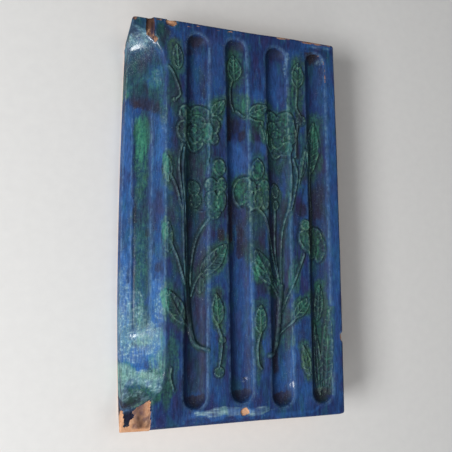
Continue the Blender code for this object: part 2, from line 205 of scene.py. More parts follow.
# Raised lines within the leaves and flowers, told the same way
LINES = (
    (58, 95, 61, 99.5, 66, 100.4, 71, 97.5, 73.5, 89), (45.5, 89, 47.5, 95.5, 52, 98.5),
    (50, 84, 45.5, 81.5, 43.8, 76, 45.5, 70.5, 49.5, 66.5), (54, 66, 57, 60.5, 61, 59, 65, 61.5, 68.5, 67),
    (57, 71, 61, 65.8, 66.5, 66.5), (59, 86.5, 62, 91.5, 67.5, 91.5, 70.5, 87),
    (75, 88.5, 80, 87.5, 82.3, 83, 79.5, 76, 81, 70.5, 77.5, 66), (74.5, 91.5, 80, 91.5, 84.5, 88),
    (70, 84.5, 74, 82, 75.7, 76, 72, 68.5), (131, 92, 132.5, 99, 138, 103, 142, 99),
    (143, 98, 147, 102.6, 152.5, 101.5, 156, 95, 157.2, 90), (157, 93, 159, 83, 158, 75, 154, 71),
    (146, 62, 150, 66, 153.5, 70), (137, 90, 141, 93.5, 146, 91.5, 149, 86),
    (136, 78, 138, 70.5, 144, 69, 148, 73), (131, 80, 130.5, 73, 133, 66),
    (77, 41, 76.5, 47, 81, 52, 87, 48.5, 87.5, 41), (70, 27, 71, 33, 76, 34, 80, 31),
    (71, 15, 72.5, 21.5, 78, 22.5), (80, 25, 84, 27, 88, 24), (57, 12, 60, 8.5, 64, 6, 68, 5),
    (119, 33, 123, 36.6, 128, 35.5, 131, 31), (121, 27, 124, 30.4, 128, 30, 130, 26),
    (112, 38.5, 103, 36.5, 97.8, 26, 100, 16, 106, 9), (113, 40, 114, 48, 120, 55, 125.5, 48, 125.5, 40),
    (111, 30, 113, 34.2, 116, 34, 118, 30), (116.3, 25, 116, 17, 118, 10.5),
    (123.2, 26, 123.5, 17, 122.5, 11), (136, 31, 138.5, 34.2, 141.5, 32, 142.8, 26, 141.5, 22),
    (138, 19.5, 141, 17, 142.3, 11), (162, -2, 165, 1.2, 170, 0, 172, -5),
    (166.5, -5.5, 166.5, -2.5, 169.5, -2.5, 169.8, -5), (160.7, -12, 161, -19, 164, -23, 167.5, -28),
    (161.5, -10, 166, -8.4, 171, -10), (175, -7, 180, -5, 185.5, -8, 187, -16),
    (189.5, -22, 190, -30, 186, -37), (163, 96, 165.5, 99, 168, 96, 165.5, 93.5, 164, 95.5),
    (177, 82, 174, 66, 176, 52), (182, 92, 181, 70, 177, 52), (186.5, 78, 187, 68, 183, 60),
    (160, 134, 161, 144, 164, 148, 167, 142), (97, 135, 96, 143, 99, 149, 103, 143),
    (69, -46, 77, -39, 85, -39.5), (112, -44, 118, -50, 126, -57),
    (116.5, -34, 120, -38, 119, -43, 124, -47, 123.5, -52, 129, -56), (114, -38, 121, -45, 129, -53),
    (41, -66, 45, -75, 50, -86), (178, -96, 175, -113, 172, -132), (180, -112, 182, -122, 185, -135),
    (162, -116, 163, -130, 168, -139),
)


def smooth_step(low, high, value):
    t = np.clip((value - low) / (high - low), 0, 1)
    return t * t * (3 - 2 * t)


def smooth_fall(low, high, value):
    return 1 - smooth_step(low, high, value)


def bell(value, centre, spread):
    return np.exp(-(((value - centre) / spread) ** 2))


def clouds(x, y, size, seed, octaves=3):
    """Soft uneven patches, from -1 to 1, about this size in millimetres."""
    total = np.zeros(np.shape(x))
    for octave in range(octaves):
        lattice = np.random.default_rng(seed + 97 * octave).uniform(-1, 1, (64, 64))
        u, v = np.asarray(x) / size * 2 ** octave + 500, np.asarray(y) / size * 2 ** octave + 500
        i, j = np.floor(u).astype(int), np.floor(v).astype(int)
        s, t = smooth_step(0, 1, u - i), smooth_step(0, 1, v - j)
        corners = [lattice[(i + a) % 64, (j + b) % 64] for a in (0, 1) for b in (0, 1)]
        low = corners[0] + (corners[1] - corners[0]) * t
        high = corners[2] + (corners[3] - corners[2]) * t
        total += (low + (high - low) * s) / 2 ** octave
    return total / (2 - 0.5 ** (octaves - 1))


def unevenness(x, y, depth, size, seed):
    """How far an uneven surface lies below its highest places, at most twice this depth."""
    return depth * (1 + clouds(x, y, size, seed))


def round_over(distance, radius):
    """How far a rounded edge of this radius drops at a distance in from it."""
    t = np.clip(1 - distance / radius, 0, 1)
    return radius * (1 - np.sqrt(1 - t * t))


def turned(x, y, degrees):
    """Coordinates along and across a direction turned this far from x."""
    c, s = math.cos(math.radians(degrees)), math.sin(math.radians(degrees))
    return x * c + y * s, y * c - x * s


def capsule_distance(x, y, start, end):
    """Distance to the straight line between two points."""
    (ax, ay), (bx, by) = start, end
    dx, dy = bx - ax, by - ay
    t = np.clip(((x - ax) * dx + (y - ay) * dy) / (dx * dx + dy * dy), 0, 1)
    return np.hypot(x - ax - t * dx, y - ay - t * dy)


def bend_through(points, steps=6):
    """Points along the smooth line through a stem's own points."""
    p = np.array(points, float)
    p = np.vstack([2 * p[0] - p[1], p, 2 * p[-1] - p[-2]])
    route = []
    for a, b, c, d in zip(p, p[1:], p[2:], p[3:]):
        for t in np.arange(steps) / steps:
            bend = (2 * a - 5 * b + 4 * c - d) * t * t + (3 * b - a - 3 * c + d) * t ** 3
            route.append(b + 0.5 * ((c - a) * t + bend))
    return np.array(route + [p[-2]])


def stroke_distance(x, y, points):
    """Distance to a bent line, and how far along it the nearest point is, from 0 to 1."""
    route = bend_through(points)
    away = np.full(x.shape, 99.0)
    along = np.zeros(x.shape)
    for step, (start, end) in enumerate(zip(route, route[1:])):
        d = capsule_distance(x, y, start, end)
        along = np.where(d < away, step / (len(route) - 1), along)
        away = np.minimum(away, d)
    return away, along


def near(x, y, points, margin):
    """Which points lie in the box round these, with a margin."""
    low, high = np.min(points, 0) - margin, np.max(points, 0) + margin
    return np.nonzero((x > low[0]) & (x < high[0]) & (y > low[1]) & (y < high[1]))[0]


def along_strokes(x, y, strokes, margin):
    """For each bent line: which points are near it, and how far off and along it they lie."""
    for stroke in strokes:
        points = np.reshape(stroke, (-1, 2))
        here = near(x, y, points, margin)
        yield here, *stroke_distance(x[here], y[here], points)


# The body's outline


def chamfer_leg(y):
    """How far the chamfer reaches in from the corner line; its stops are quarter circles."""
    over = y - (STOP_TOP - CHAMFER)
    under = STOP_BOTTOM + CHAMFER - y
    t = np.clip(np.maximum(over, under) / CHAMFER, 0, 1)
    return CHAMFER * np.sqrt(1 - t * t)


def left_back(y):
    half = HEIGHT / 2
    upper = LEFT_BOW[0] * ((y - WAIST) / (half - WAIST)) ** 2
    lower = LEFT_BOW[1] * ((y - WAIST) / (half + WAIST)) ** 2
    return LEFT_BACK + np.where(y > WAIST, upper, lower)


def left_edge(y):
    face = left_back(y) - DRAFT - SPUR * smooth_step(SPUR_TOP, -HEIGHT / 2, y)
    corner = round_over(HEIGHT / 2 - y, CORNER_LEFT)
    slope = DRAFT / DEPTH
    return (face + slope * chamfer_leg(y)) / (1 + slope) + corner


def right_edge(y):
    bow = RIGHT_BOW * (1 - np.clip((y - RIGHT_WAIST) / RIGHT_REACH, -1, 1) ** 2)
    return WIDTH + bow - round_over(HEIGHT / 2 - np.abs(y), CORNER_RIGHT)


def top_edge(x):
    sag = TOP_SAG * smooth_fall(*TOP_SAG_ENDS, x)
    return HEIGHT / 2 - sag - BLOCK_SAG * smooth_fall(*BLOCK_SAG_ENDS, x)


def bottom_edge(x):
    return -HEIGHT / 2 + FOOT_RISE * (1 - x / WIDTH)


# The breaks

FLAKE_RIGHT = 22.0
FLAKE_DEPTH = (2.4, 5.0)
FLAKE_ROUND = 1.0
NOTCH = dict(x=(16.0, 23.0), depth=2.2, wander=0.8, into_stop=1.5)
CHIP_FLOOR = 0.72  # the share of a chip's reach over which it is as deep as it gets
CHIP_RAGGED = 0.25
CHIPS = (  # x, y, half width, half height, depth
    (38.5, 173.0, 6.0, 4.0, 1.6),
    (105.0, -167.0, 4.5, 3.8, 1.5),
    (204.5, -107.0, 3.6, 4.6, 2.5),
    (24.0, 155.5, 1.8, 3.4, 1.0),
    (5.2, 172.4, 2.8, 2.8, 0.8),
)
PIT = (107.0, -140.0, 1.5, 1.0)  # x, y, radius, depth
BREAK_GRAIN = {  # of each broken surface: height, size and seed
    "flake": ((0.35, 6.0, 13), (0.15, 1.5, 14)),
    "notch": ((0.5, 2.5, 15),),
    "chip": ((0.3, 2.0, 16),),
}


def foot_round(x):
    glazed = FOOT_ROUND - (FOOT_ROUND - RIM_ROUND) * smooth_step(*FOOT_SHARPENS, x)
    return np.where(x < FLAKE_RIGHT, FLAKE_ROUND, glazed)


def chip_share(x, y, chip):
    """1 inside a chip, falling to 0 at its ragged edge."""
    centre_x, centre_y, half_x, half_y, _ = chip
    ragged = 1 + CHIP_RAGGED * clouds(x, y, 3.0, 11)
    t = np.hypot((x - centre_x) / half_x, (y - centre_y) / half_y) * ragged
    return smooth_fall(CHIP_FLOOR, 1.0, t)


def flaked(x, y):
    return (x < FLAKE_RIGHT) & (y < STOP_BOTTOM + CHAMFER)


def notched(x, y):
    low, high = NOTCH["x"]
    wander = NOTCH["wander"] * clouds(x, y, 5.0, 12)
    end = STOP_TOP - CHAMFER + np.sqrt(np.clip(CHAMFER ** 2 - x * x, 0, None))
    return (x > low + wander) & (x < high + wander) & (y > end - NOTCH["into_stop"])


def rough(x, y, kind):
    return sum(height * clouds(x, y, size, seed) for height, size, seed in BREAK_GRAIN[kind])


def break_depth(x, y, z):
    """The face with its chips, its flaked corner block and the notch at the top."""
    flake = np.interp(x, (0, FLAKE_RIGHT), FLAKE_DEPTH[::-1]) + rough(x, y, "flake")
    z = np.where(flaked(x, y), np.minimum(z, -flake), z)
    notch = NOTCH["depth"] + rough(x, y, "notch")
    z = np.where(notched(x, y), np.minimum(z, -notch), z)
    for chip in CHIPS:
        z = z - (chip[4] + rough(x, y, "chip")) * chip_share(x, y, chip)
    x0, y0, radius, depth = PIT
    return z - depth * smooth_fall(0.5, 1.0, np.hypot(x - x0, y - y0) / radius)


# The flutes and the plants


def flute_depth(x, y, flute, depth, squareness, shoulder):
    """A flute with round ends and softened edges: the squarer, the steeper its sides."""
    half = flute["width"] / 2
    (low_x, high_x), (low_y, high_y) = flute["x"], flute["y"]
    away = capsule_distance(x, y, (low_x, low_y + half), (high_x, high_y - half))
    inside = np.clip(away / half, 0, 1)
    edge = shoulder * smooth_fall(*SHOULDER_SPAN, away - half)
    return (depth - shoulder) * (1 - inside ** squareness) ** 0.95 + edge


def raise_to(height, where, form):
    height[where] = np.maximum(height[where], form)


def add_stems(height, x, y):
    for group, half, lift in ((STEMS, STEM_HALF, STEM_LIFT), (TRUNKS, TRUNK_HALF, TRUNK_LIFT)):
        for here, away, along in along_strokes(x, y, group, 8):
            reach = half * (1 - TAPER * along)
            raise_to(height, here, lift * np.sqrt(np.clip(1 - (away / reach) ** 2, 0, 1)))


def add_leaf(height, x, y, base_x, base_y, tip_x, tip_y, half):
    """A pointed leaf with a raised edge, a midrib and slanting side veins."""
    here = near(x, y, ((base_x, base_y), (tip_x, tip_y)), half + 2)
    dx, dy = tip_x - base_x, tip_y - base_y
    length = math.hypot(dx, dy)
    along = ((x[here] - base_x) * dx + (y[here] - base_y) * dy) / length ** 2
    across = ((y[here] - base_y) * dx - (x[here] - base_x) * dy) / length
    outline = half * np.sin(np.pi * np.clip(along, 0, 1) ** LEAF_FULLNESS) ** LEAF_FULLNESS
    t = np.abs(across) / np.maximum(outline, 1e-3)
    edge = np.clip(0.45 + 0.5 * clouds(x[here], y[here], 5.0, 7), *LEAF_EDGE)
    body = LEAF_BODY + edge * smooth_step(0.55, 0.9, t)
    veins = max(3, round(length / VEIN_SPACING))
    phase = (along - VEIN_SLANT * np.abs(across) / length) * veins
    vein = np.clip(1 - np.abs(phase - np.round(phase)) * length / veins / VEIN_HALF, 0, 1)
    midrib = np.clip(1 - np.abs(across) / MIDRIB_HALF, 0, 1)
    body = body + VEIN_LIFT * np.maximum(vein * (t < 0.85) * (half > VEINED_FROM), midrib)
    raise_to(height, here, body * smooth_fall(0.86, 1.04, t) * (outline > LEAF_POINT))


def add_petal(height, x, y, centre_x, centre_y, half_x, half_y, turn, level):
    """A cupped petal laid over what is behind it, highest just inside its rim."""
    here = near(x, y, ((centre_x, centre_y),), max(half_x, half_y) * 1.2)
    u, v = turned(x[here] - centre_x, y[here] - centre_y, turn)
    t = np.hypot(u / half_x, v / half_y)
    wander = clouds(x[here], y[here], 5.0, 9)
    folds = FOLD_LIFT * np.sin(PETAL_FOLDS * np.arctan2(v, u) + centre_x + 2.5 * wander)
    ripples = RIPPLE_LIFT * np.sin(RIPPLES * (u + v))
    rim = np.clip(0.24 + 0.42 * clouds(x[here], y[here], 4.0, 10), *PETAL_RIM)
    cup = 0.85 * level + 0.1 + rim * smooth_step(0.6, 0.95, t)
    cup = cup + (folds + ripples) * smooth_step(0.15, 0.8, t)
    cover = smooth_fall(*PETAL_COVER, t)
    behind = height[here]
    laid = behind * (1 - cover) + np.maximum(cup, SHOWS_THROUGH * behind) * cover
    height[here] = laid - CREVICE * bell(t, 1.14, 0.1)


def relief(x, y):
    height = np.zeros(x.shape)
    add_stems(height, x, y)
    for leaf in LEAVES:
        add_leaf(height, x, y, *leaf)
    for petal in PETALS:
        add_petal(height, x, y, *petal)
    for here, away, _ in along_strokes(x, y, LINES, 4):
        lift = 0.4 + 0.5 * clouds(x[here], y[here], 5.0, 8)
        height[here] += lift * np.clip(1 - (away / LINE_HALF) ** 2, 0, 1)
    return np.minimum(height, HIGHEST)


def face_height(x, y):
    """The glazed face, as a height over the face plane."""
    z = np.minimum(x - chamfer_leg(y), 0)
    sinks, rises = CORNER_FLUTE_FADES
    share = smooth_fall(*rises, y) * smooth_step(*sinks, y)
    z = z - share * flute_depth(x, y, CORNER_FLUTE, CORNER_FLUTE["depth"], *CORNER_FLUTE_FORM)
    for centre_x, centre_y, spread_x, spread_y, turn, height in GLAZE_LUMPS:
        u, v = turned(x - centre_x, y - centre_y, turn)
        away = (u / spread_x) ** 2 + (v / spread_y) ** 2
        z = z + height * np.exp(-away) * smooth_step(0, 3, -z)
    for flute in FLUTES:
        z = z - flute_depth(x, y, flute, FLUTE_DEPTH, *FLUTE_FORM)
    z = z + relief(x, y) * smooth_step(CHAMFER - RELIEF_FADE, CHAMFER, x)
    for waves in FACE_WAVES:
        z = z - unevenness(x, y, *waves)
    z = break_depth(x, y, z)
    z = z - round_over(right_edge(y) - x, RIM_ROUND)
    z = z - round_over(x - left_edge(y), LEFT_ROUND)
    z = z - round_over(top_edge(x) - y, RIM_ROUND)
    return z - round_over(y - bottom_edge(x), foot_round(x))


# Making the mesh


def flat_grid(columns, rows):
    """A bmesh grid, and where each of its points lies across and up it, from 0 to 1."""
    bm = bmesh.new()
    bmesh.ops.create_grid(bm, x_segments=columns, y_segments=rows, size=1)
    spread = np.array([v.co[:2] for v in bm.verts])
    across, up = (spread.T + 1) / 2
    return bm, across, up


def place_points(bm, x, y, z):
    for vert, place in zip(bm.verts, np.stack([x, y, z], 1)):
        vert.co = place


def sink_sides(bm, steps, sink):
    """Draws the grid's rim down in steps, each placed by sink, and closes the block below."""
    started_at = bm.verts.layers.float_vector.new("started_at")
    for vert in bm.verts:
        vert[started_at] = vert.co
    rim = [e for e in bm.edges if e.is_boundary]
    for share in steps:
        drawn = bmesh.ops.extrude_edge_only(bm, edges=rim)["geom"]
        rim = [g for g in drawn if isinstance(g, bmesh.types.BMEdge) and g.is_boundary]
        for vert in [g for g in drawn if isinstance(g, bmesh.types.BMVert)]:
            vert.co = sink(*vert[started_at], share)
    bm.verts.layers.float_vector.remove(started_at)
    bmesh.ops.holes_fill(bm, edges=rim)
    bmesh.ops.recalc_face_normals(bm, faces=bm.faces)


def clay_block():
    bm, across, up = flat_grid(round(WIDTH / GRAIN), round(HEIGHT / GRAIN))
    y = -HEIGHT / 2 + HEIGHT * up
    x = left_edge(y) + (right_edge(y) - left_edge(y)) * across
    y = bottom_edge(x) + (top_edge(x) - bottom_edge(x)) * up
    place_points(bm, x, y, face_height(x, y))

    def lean(x, y, z, share):
        """A point this share of the way from the rim to the foot of its side."""
        inward = DRAFT * (1 + z / DEPTH)
        span = right_edge(y) - left_edge(y)
        to_right = np.clip((x - left_edge(y)) / span, 0, 1)
        left = left_back(y) + x - left_edge(y)
        foot_x = left + (x - inward - left) * to_right
        return Vector((x, y, z)).lerp(Vector((foot_x, y - inward * 2 * y / HEIGHT, -DEPTH)), share)

    sink_sides(bm, SIDE_STEPS, lean)
    return bm


def hollow():
    """What is open behind the panel, with pressed and wiped walls."""
    margin = WALL + DRAFT
    half = HEIGHT / 2 - margin
    left, right = HOLLOW_LEFT, WIDTH - margin
    bm, across, up = flat_grid(*HOLLOW_GRID)
    y = -half + 2 * half * up
    corner = round_over(half - np.abs(y), HOLLOW_CORNER)
    x = left + corner + (right - left - 2 * corner) * across
    edge = np.minimum(np.minimum(x - left, right - x), half - np.abs(y))
    z = np.minimum(x - CHAMFER - WALL * math.sqrt(2), -PANEL) - round_over(edge, HOLLOW_ROUND)
    stretch_x, stretch_y = PRESS_STRETCH
    z = z - unevenness(x * stretch_x, y * stretch_y, *PRESSED) - unevenness(x, y, *WIPED)
    place_points(bm, x, y, z)

    def drop(x, y, z, share):
        lower = z + (-DEPTH - CUT_PAST - z) * share
        wander = 0.4 * clouds(x + y, lower * 2, 14.0, 23)
        middle = (left + right) / 2
        return Vector((x - math.copysign(wander, x - middle), y - math.copysign(wander, y), lower))

    sink_sides(bm, HOLLOW_STEPS, drop)
    return bm


def put_in_scene(name, data):
    obj = bpy.data.objects.new(name, data)
    bpy.context.scene.collection.objects.link(obj)
    return obj


def new_object(name, bm):
    mesh = bpy.data.meshes.new(name)
    bm.to_mesh(mesh)
    bm.free()
    return put_in_scene(name, mesh)


def clay_object(name, bm):
    """An object of a mesh in millimetres, placed in the frame in metres."""
    placing = Matrix.Translation((0, 0, LOW.z)) @ Matrix.Scale(MM, 4)
    placing = placing @ Matrix.Translation((-MIDDLE, 0, DEPTH))
    bmesh.ops.transform(bm, matrix=placing, verts=bm.verts)
    return new_object(name, bm)


def cut_hollow(obj):
    """Takes the hollow back out of the block for good."""
    cutter = clay_object("hollow", hollow())
    cut = obj.modifiers.new("hollow", "BOOLEAN")
    cut.operation = "DIFFERENCE"
    cut.object = cutter
    graph = bpy.context.evaluated_depsgraph_get()
    carved = bpy.data.meshes.new_from_object(obj.evaluated_get(graph))
    obj.modifiers.clear()
    obj.data = carved
    bpy.data.objects.remove(cutter, do_unlink=True)


# Where the colours lie. Each patch: centre, half width, half height and strength.

GREEN_PATCHES = (
    (42, 146, 9, 14, 0.8), (42, 110, 8, 26, 0.7), (60, 80, 17, 26, 0.9), (80, 92, 9, 17, 0.9),
    (40, 40, 7, 22, 0.7), (81, 28, 9, 28, 0.9), (62, 20, 8, 16, 0.8), (37, -18, 6, 16, 0.8),
    (44, -38, 6, 16, 0.6), (78, -36, 12, 15, 0.8), (42, -78, 9, 16, 0.9), (80, -82, 7, 17, 0.9),
    (83, -112, 5, 28, 0.7), (99, 138, 10, 18, 0.9), (99, 110, 10, 14, 0.7), (108, 106, 5, 12, 0.8),
    (120, 94, 10, 16, 0.9), (116, 88, 4, 24, 0.7), (142, 82, 17, 24, 0.9), (163, 138, 9, 17, 0.9),
    (155, 112, 4, 26, 0.8), (163, 112, 7, 20, 0.8), (182, 84, 6, 17, 0.9), (180, 60, 11, 18, 0.9),
    (158, 45, 8, 24, 0.6), (120, 28, 14, 32, 0.9), (103, 26, 8, 14, 0.9), (140, 22, 6, 16, 0.8),
    (152, 20, 5, 24, 0.7), (171, -14, 13, 17, 0.9), (181, -22, 10, 17, 0.9), (123, -44, 11, 18, 0.9),
    (138, -62, 8, 12, 0.8), (145, -86, 6, 26, 0.7), (157, -50, 6, 20, 0.7), (163, -79, 11, 12, 0.9),
    (121, -90, 8, 17, 0.9), (118, -120, 5, 26, 0.7), (165, -126, 7, 17, 0.9), (183, -80, 9, 20, 0.8),
    (186, -110, 8, 18, 0.9), (183, -140, 8, 26, 0.8), (39, -120, 6, 30, 0.6), (112, 6, 5, 14, 0.8),
    # the chamfer
    (17, 72, 6.6, 24, 0.9), (16.5, 44, 6.6, 40, 0.8), (16.5, 4, 6.4, 44, 0.6), (16.5, -50, 6.6, 40, 0.7),
    (12, 124, 12, 22, 0.7), (26, 112, 6, 24, 0.7), (5, 112, 2.2, 5, 0.9), (17, -84, 7, 16, 0.7),
    (33, 42, 2.5, 13, 0.9), (33, -16, 2.5, 15, 0.9), (33, -76, 3, 16, 0.9), (32, -132, 3, 12, 0.8),
    (8, -138, 10, 14, 0.8), (24, -140, 11, 12, 0.9), (16, -150, 18, 8, 1), (35, -140, 5, 26, 0.8),
    (18, 140, 12, 10, 0.4), (31, 100, 4, 24, 0.7), (30, 158, 8, 14, 0.7), (10, 150, 16, 8, 0.5),
    (6, 166, 10, 8, 0.4), (29, 122, 5, 20, 0.6),
    # washes below the flowers, beside the stems and at the right
    (60, 50, 16, 18, 0.6), (80, 0, 8, 14, 0.5), (142, 58, 14, 16, 0.6), (120, -4, 10, 16, 0.5),
    (178, -42, 9, 12, 0.4), (147, 8, 8, 16, 0.5), (168, 70, 7, 20, 0.5), (149, -98, 5, 22, 0.6),
    (40, 4, 6, 18, 0.5), (64, 40, 8, 14, 0.5), (187, -116, 6, 30, 0.6),
)

# Fresh yellow green where the copper lies thick and bright
LEAFY_PATCHES = (
    (16.8, 72, 6.4, 24, 0.75), (13.5, 84, 3.2, 9, 0.5), (5, 112, 1.6, 4, 0.7), (33.5, 46, 3, 10, 0.95),
    (33.5, -13, 3, 9, 0.95), (33.5, -70, 3.5, 12, 1), (32, -116, 2.8, 26, 0.6), (7, -130, 8, 10, 0.5),
    (19, -104, 6, 7, 0.45), (17, -92, 6, 8, 0.35), (26, -124, 6, 10, 0.4), (22, -133, 8, 4, 0.5),
    (72.5, 76, 4.6, 10, 0.55), (66, 93, 6, 4.5, 0.4), (85, 101, 3.6, 6, 0.6), (43, 147, 3.5, 7, 0.3),
    (100, 143, 4.5, 8, 0.4), (108, 104, 3, 9, 0.5), (119, 97, 8, 8, 0.35), (134, 72, 3, 7, 0.25),
    (152, 88, 5, 8, 0.35), (153, 66, 3, 8, 0.4), (163, 142, 4, 7, 0.3), (170, 60, 3, 7, 0.4),
    (81, 44, 4, 6, 0.45), (63, 18, 4, 8, 0.4), (83, 12, 4, 8, 0.35), (103, 27, 3.5, 8, 0.5),
    (120, 49, 4, 7, 0.45), (113, 16, 3, 8, 0.4), (125, 32, 5, 4, 0.4), (139, 29, 3, 6, 0.35),
    (152, 40, 2.5, 14, 0.3), (168, -4, 5, 5, 0.5), (166, -20, 5, 8, 0.4), (183, -24, 4, 9, 0.3),
    (84, -30, 6, 7, 0.6), (118, -42, 5, 12, 0.8), (122, -47, 6, 5, 0.4), (37, -66, 3, 9, 0.6),
    (42, -78, 5, 8, 0.3), (80, -78, 4, 9, 0.6), (121, -86, 4, 9, 0.5), (162, -78, 6, 5, 0.4),
    (152, -52, 4, 14, 0.5), (182, -62, 4, 7, 0.6), (180, -96, 7, 12, 0.3), (188, -118, 4, 20, 0.35),
    (165, -126, 3, 10, 0.3), (180, -136, 4, 12, 0.35), (98, 120, 4, 10, 0.2), (60.5, 78, 3, 3.4, 0.5),
    (143, 80, 5, 8, 0.2), (183, 84, 6, 14, 0.6), (181, 62, 8, 12, 0.45), (124, 108, 8, 7, 0.3),
    (73, 69, 4, 5, 0.7), (106, 14, 3, 4, 0.5), (116, 38, 3, 3, 0.5), (148, 94, 5, 3, 0.35),
    (48, 92, 3, 6, 0.35),
)

# Thin milky glaze with painted sheen and reflected light: most of it on the lower end of the chamfer, some
# in the scoop and at edges
MILK_AND_SHEEN_PATCHES = (
    (4, -60, 6, 22, 0.45), (30, -62, 5, 12, 0.35), (6, -92, 8, 24, 0.8), (17, -100, 16, 15, 0.9),
    (20, -106, 13, 9, 0.75), (31, -80, 3, 14, 0.4), (6, -110, 8, 9, 0.7), (10, -117, 14, 8, 0.5),
    (28, -110, 6, 12, 0.4), (28, -122, 7, 8, 0.4), (14, -98, 5, 5, 1), (24, -94, 4, 4, 0.9),
    (3, -30, 3, 12, 0.25), (12, -76, 3, 14, 0.3), (6, -133, 9, 9, 1), (3, -147, 5, 8, 0.7),
    (20, -134, 13, 7, 1), (27, -141, 6, 4, 0.8), (15, -84, 7, 9, 0.6), (30, -76, 5, 14, 0.4),
    (92, -165, 12, 3, 0.6), (27, 124, 4, 9, 0.25), (14, -147, 9, 5, 0.35), (100, -168.5, 34, 1.6, 0.9),
    (118, -166, 12, 2.5, 0.5), (188, 172, 14, 3, 0.4), (15, -70, 6, 9, 0.35), (32, 80, 2.5, 14, 0.25),
    (12, 156, 14, 6, 0.75), (152, 160, 3, 5, 0.5), (151, 150, 1.6, 14, 0.35), (188, 158, 4, 4, 0.4),
    (76, -166, 22, 3, 0.9), (105, -166, 5, 3, 0.5),
)

# Where the glaze kept its shine, which also places the painted glint specks
GLOSS_AND_GLINT_PATCHES = (
    (12, 154, 18, 8, 1), (10, 138, 12, 12, 0.5), (16, -101, 11, 6, 1), (22, -96, 7, 5, 0.9),
    (3, -60, 3, 50, 0.35), (30, 30, 3, 60, 0.3), (24, -133, 12, 4, 0.8), (17, -112, 14, 8, 0.4),
    (80, -168, 36, 4, 0.5), (152, -148, 2.5, 3, 0.8), (107, -140, 3, 3, 0.6), (56, -99, 2, 3, 0.6),
    (48, -91, 4, 2, 0.5), (168, -22, 5, 8, 0.3), (4, 90, 3, 40, 0.2),
)

# Darker patches, in the flutes, beside the plants and in the scoop
DUSK_PATCHES = (
    (42, 118, 7, 34, 0.6), (43, 60, 6, 60, 0.7), (45, -20, 5, 40, 0.6), (43, -60, 5, 40, 0.5),
    (61, 158, 9, 8, 0.5), (61, 44, 9, 20, 0.7), (61, -6, 9, 40, 0.9), (60, -66, 9, 44, 0.8),
    (60, -124, 9, 34, 0.4), (97, 100, 7, 20, 0.5), (100, 120, 6, 14, 0.5), (118, 76, 6, 20, 0.6),
    (120, -12, 8, 20, 0.7), (140, 46, 9, 20, 0.8), (140, -4, 9, 46, 0.7), (138, -92, 6, 34, 0.7),
    (181, 62, 9, 24, 0.4), (180, -14, 9, 24, 0.5), (180, -78, 9, 26, 0.6), (181, -120, 10, 40, 0.5),
    (81, 70, 6, 20, 0.4), (163, 100, 6, 12, 0.6), (150, 100, 5, 20, 0.2), (70, 2, 5, 20, 0.4),
    (17, 8, 4, 26, 0.3), (15, 110, 10, 12, 0.95), (8, 132, 9, 15, 0.5), (25, 106, 6, 10, 0.6),
    (30, 162, 8, 14, 0.75), (4, 168, 8, 9, 0.5), (4, -165, 7, 9, 1), (13, -110, 5, 3, 0.5),
    (16, -151, 14, 5, 0.6), (36, -128, 5, 20, 0.4), (3, 124, 4, 10, 0.4), (8, 138, 12, 10, 0.9),
    (18, 140, 9, 8, 0.7), (20, 90, 6, 12, 0.3), (26, 76, 4, 20, 0.3), (115, -20, 6, 26, 0.4),
    (186, 140, 7, 24, 0.35), (138, -126, 6, 18, 0.45), (188, -108, 7, 18, 0.4), (187, 50, 6, 20, 0.3),
    (152, 44, 4, 18, 0.3), (102, -96, 5, 20, 0.15), (66, -78, 7, 80, 0.5), (114, -14, 8, 30, 0.6),
    (187, 12, 8, 54, 0.4), (78, -30, 6, 16, 0.4), (185, -100, 8, 30, 0.4), (150, -30, 6, 30, 0.3),
    (102, -4, 9, 30, 0.3), (66, 30, 5, 24, 0.3), (67, -38, 7, 24, 0.8), (111, -14, 6, 34, 0.75),
    (148, -100, 5, 20, 0.35), (186, -114, 8, 26, 0.55), (24, 138, 5, 11, 0.7), (11, 134, 13, 13, 0.65),
    (12, -157, 12, 4, 0.9), (64, 36, 8, 18, 0.55), (40, 4, 6, 18, 0.5), (149, -94, 6, 16, 0.5),
    (148, 52, 5, 12, 0.4), (27, 84, 4, 9, 0.3), (145, -90, 7, 40, 0.3), (186, -60, 6, 20, 0.3),
    (116, -120, 6, 22, 0.3), (62, 130, 9, 30, 0.2),
)

